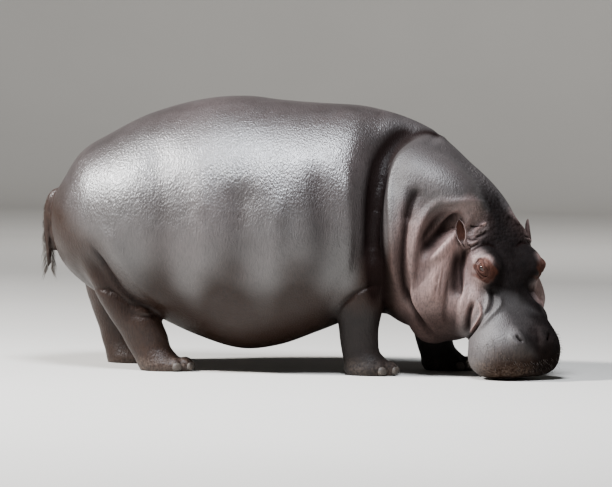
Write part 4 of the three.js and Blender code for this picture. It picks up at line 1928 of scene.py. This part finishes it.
@dataclass(frozen=True)
class PlainFinish:
    """A dull finish that wanders between two colours in sRGB, with so many lumps per metre."""

    name: str
    first: str
    second: str
    per_metre: float
    roughness: float

    def material(self) -> bpy.types.Material:
        """The two colours, mixed by noise."""
        shader = Shader(self.name)
        place = shader.add("TexCoord", output="Object")
        share = shader.add("TexNoise", {"Vector": place, "Scale": self.per_metre, "Detail": 3})
        colours = {0: share, 6: linear(self.first), 7: linear(self.second)}
        return shader.finish(shader.add("Mix", colours, 2, data_type="RGBA"), self.roughness)


HAIR = PlainFinish("stiff_hair", "241C16", "3C3025", per_metre=30.0, roughness=0.55)
PAPER = PlainFinish("studio_paper", "ABA8A3", "B3B0AB", per_metre=0.5, roughness=0.9)


# ---- Scene -------------------------------------------------------------------------------------------------

@dataclass(frozen=True)
class Camera:
    """A long lens at the height of a visitor's eyes, to the right of the figure and a little ahead.

    image: the picture's width and height in pixels. pixels_per_metre: the scale at the figure's middle.
    distance: how far the camera stands from there. azimuth, elevation and roll: degrees. aim_height: how high
    above the origin the point is that falls on aim_pixel, which is counted from the picture's top left.
    sensor: millimetres.
    """

    image: tuple[int, int] = (612, 487)
    pixels_per_metre: float = 190
    distance: float = 20.0
    azimuth: float = CAMERA_AZIMUTH
    elevation: float = 2.2
    roll: float = 0.8
    aim_height: float = 0.72
    aim_pixel: tuple[int, int] = (300, 233)
    sensor: float = 36

    def build(self) -> bpy.types.Object:
        """Stands the camera in its place, and makes it the scene's."""
        azimuth, elevation, roll = (math.radians(a) for a in (self.azimuth, self.elevation, self.roll))
        right = Vector((math.cos(azimuth), math.sin(azimuth), 0))
        level = Vector((-math.sin(azimuth), math.cos(azimuth), 0))
        forward = level * math.cos(elevation) - Vector((0, 0, math.sin(elevation)))
        up = right.cross(forward)
        # A positive roll turns the camera to its left, so that the picture drops on its right.
        rolled_right = right * math.cos(roll) + up * math.sin(roll)
        rolled_up = up * math.cos(roll) - right * math.sin(roll)
        aim = Vector((0, 0, self.aim_height))
        width, height = self.image
        aside = (width / 2 - self.aim_pixel[0]) / self.pixels_per_metre
        below = (height / 2 - self.aim_pixel[1]) / self.pixels_per_metre
        place = aim - forward * self.distance
        forward = (aim + rolled_right * aside - rolled_up * below - place).normalized()
        rolled_right = (rolled_right - forward * rolled_right.dot(forward)).normalized()
        rolled_up = rolled_right.cross(forward)
        data = bpy.data.cameras.new("camera")
        data.sensor_width = self.sensor
        data.lens = self.pixels_per_metre * self.distance / width * self.sensor
        data.clip_end = 100
        camera = bpy.data.objects.new("camera", data)
        rows = [(rolled_right[i], rolled_up[i], -forward[i], place[i]) for i in range(3)]
        camera.matrix_world = Matrix((*rows, (0, 0, 0, 1)))
        bpy.context.scene.collection.objects.link(camera)
        bpy.context.scene.camera = camera
        return camera


@dataclass(frozen=True)
class Lamp:
    """A square soft light that faces its target; places and size are in metres."""

    name: str
    place: tuple[float, float, float]
    size: float
    watts: float
    target: tuple[float, float, float] = (0, 0, 0.7)
    tint: tuple[float, float, float] = (1, 1, 1)

    def build(self) -> bpy.types.Object:
        """Hangs the lamp."""
        data = bpy.data.lights.new(self.name, "AREA")
        data.color = self.tint
        data.size = self.size
        data.energy = self.watts
        lamp = bpy.data.objects.new(self.name, data)
        direction = Vector(self.target) - Vector(self.place)
        lamp.rotation_euler = direction.to_track_quat("-Z", "Y").to_euler()
        lamp.location = self.place
        bpy.context.scene.collection.objects.link(lamp)
        return lamp


@dataclass(frozen=True)
class Studio:
    """A round pale floor that sweeps up into a wall, wide enough to hold a camera on any side, and its lamps.

    reach: the radius of the flat floor. sweep: the radius of the curve into the wall. tall: the wall's height.
    around: vertices round it. lamps: the soft lights. air and air_strength: the sRGB colour of the light from
    all round, and how bright it is.
    """

    reach: float = 26.0
    sweep: float = 5.0
    tall: float = 14.0
    around: int = 96
    lamps: tuple[Lamp, ...] = (
        Lamp("key", (-10.0, -4.4, 9.8), 1.8, 7800),
        Lamp("top", (0.3, -3.4, 6.8), 2.2, 1500, tint=(0.88, 0.93, 1.0)),
        Lamp("wall", (0.0, 12.0, 9.0), 6.0, 1500, target=(0, 31, 4)),
    )
    air: str = "DDE2EA"
    air_strength: float = 0.03

    def build(self) -> bpy.types.Object:
        """Makes the floor, the lamps and the light of the air."""
        bend = np.linspace(-math.pi / 2, 0, 16)
        profile = [(self.reach + self.sweep * math.cos(a), self.sweep * (1 + math.sin(a))) for a in bend]
        profile.append((self.reach + self.sweep, self.tall))
        turn = np.linspace(0, 2 * math.pi, self.around, endpoint=False)
        vertices = np.array([(r * math.cos(a), r * math.sin(a), z) for r, z in profile for a in turn])
        faces = tube_faces(len(profile), self.around)[:-1]
        floor = new_object("studio_floor", build_mesh("studio_floor", vertices, faces))
        floor.data.materials.append(PAPER.material())
        for lamp in self.lamps:
            lamp.build()
        world = bpy.data.worlds.new("studio_air")
        world.use_nodes = True
        background = world.node_tree.nodes["Background"]
        background.inputs["Color"].default_value = linear(self.air)
        background.inputs["Strength"].default_value = self.air_strength
        bpy.context.scene.world = world
        return floor


def report(piece: bpy.types.Object) -> None:
    """Logs a finished piece's name and size."""
    log.info("%s: %d vertices, %d faces", piece.name, len(piece.data.vertices), len(piece.data.polygons))


def main() -> None:
    """Dresses the figure and sets the studio round it."""
    body = flesh()
    hide, iris, horn, hair = (finish.material() for finish in (HideFinish(), EyeFinish(), HornFinish(), HAIR))
    skin = Skin(body).build(hide)
    report(skin)
    for hand in (RIGHT, LEFT):
        report(Ear(hand).build(hide))
        report(Eye(hand).build(iris))
    for leg in LEGS:
        for number in range(len(TOES)):
            report(Nail(leg, number).build(horn))
    for bristles in grow_bristles(skin, body):
        report(bristles.build(hair))
    Camera().build()
    report(Studio().build())


if __name__ == "__main__":
    main()
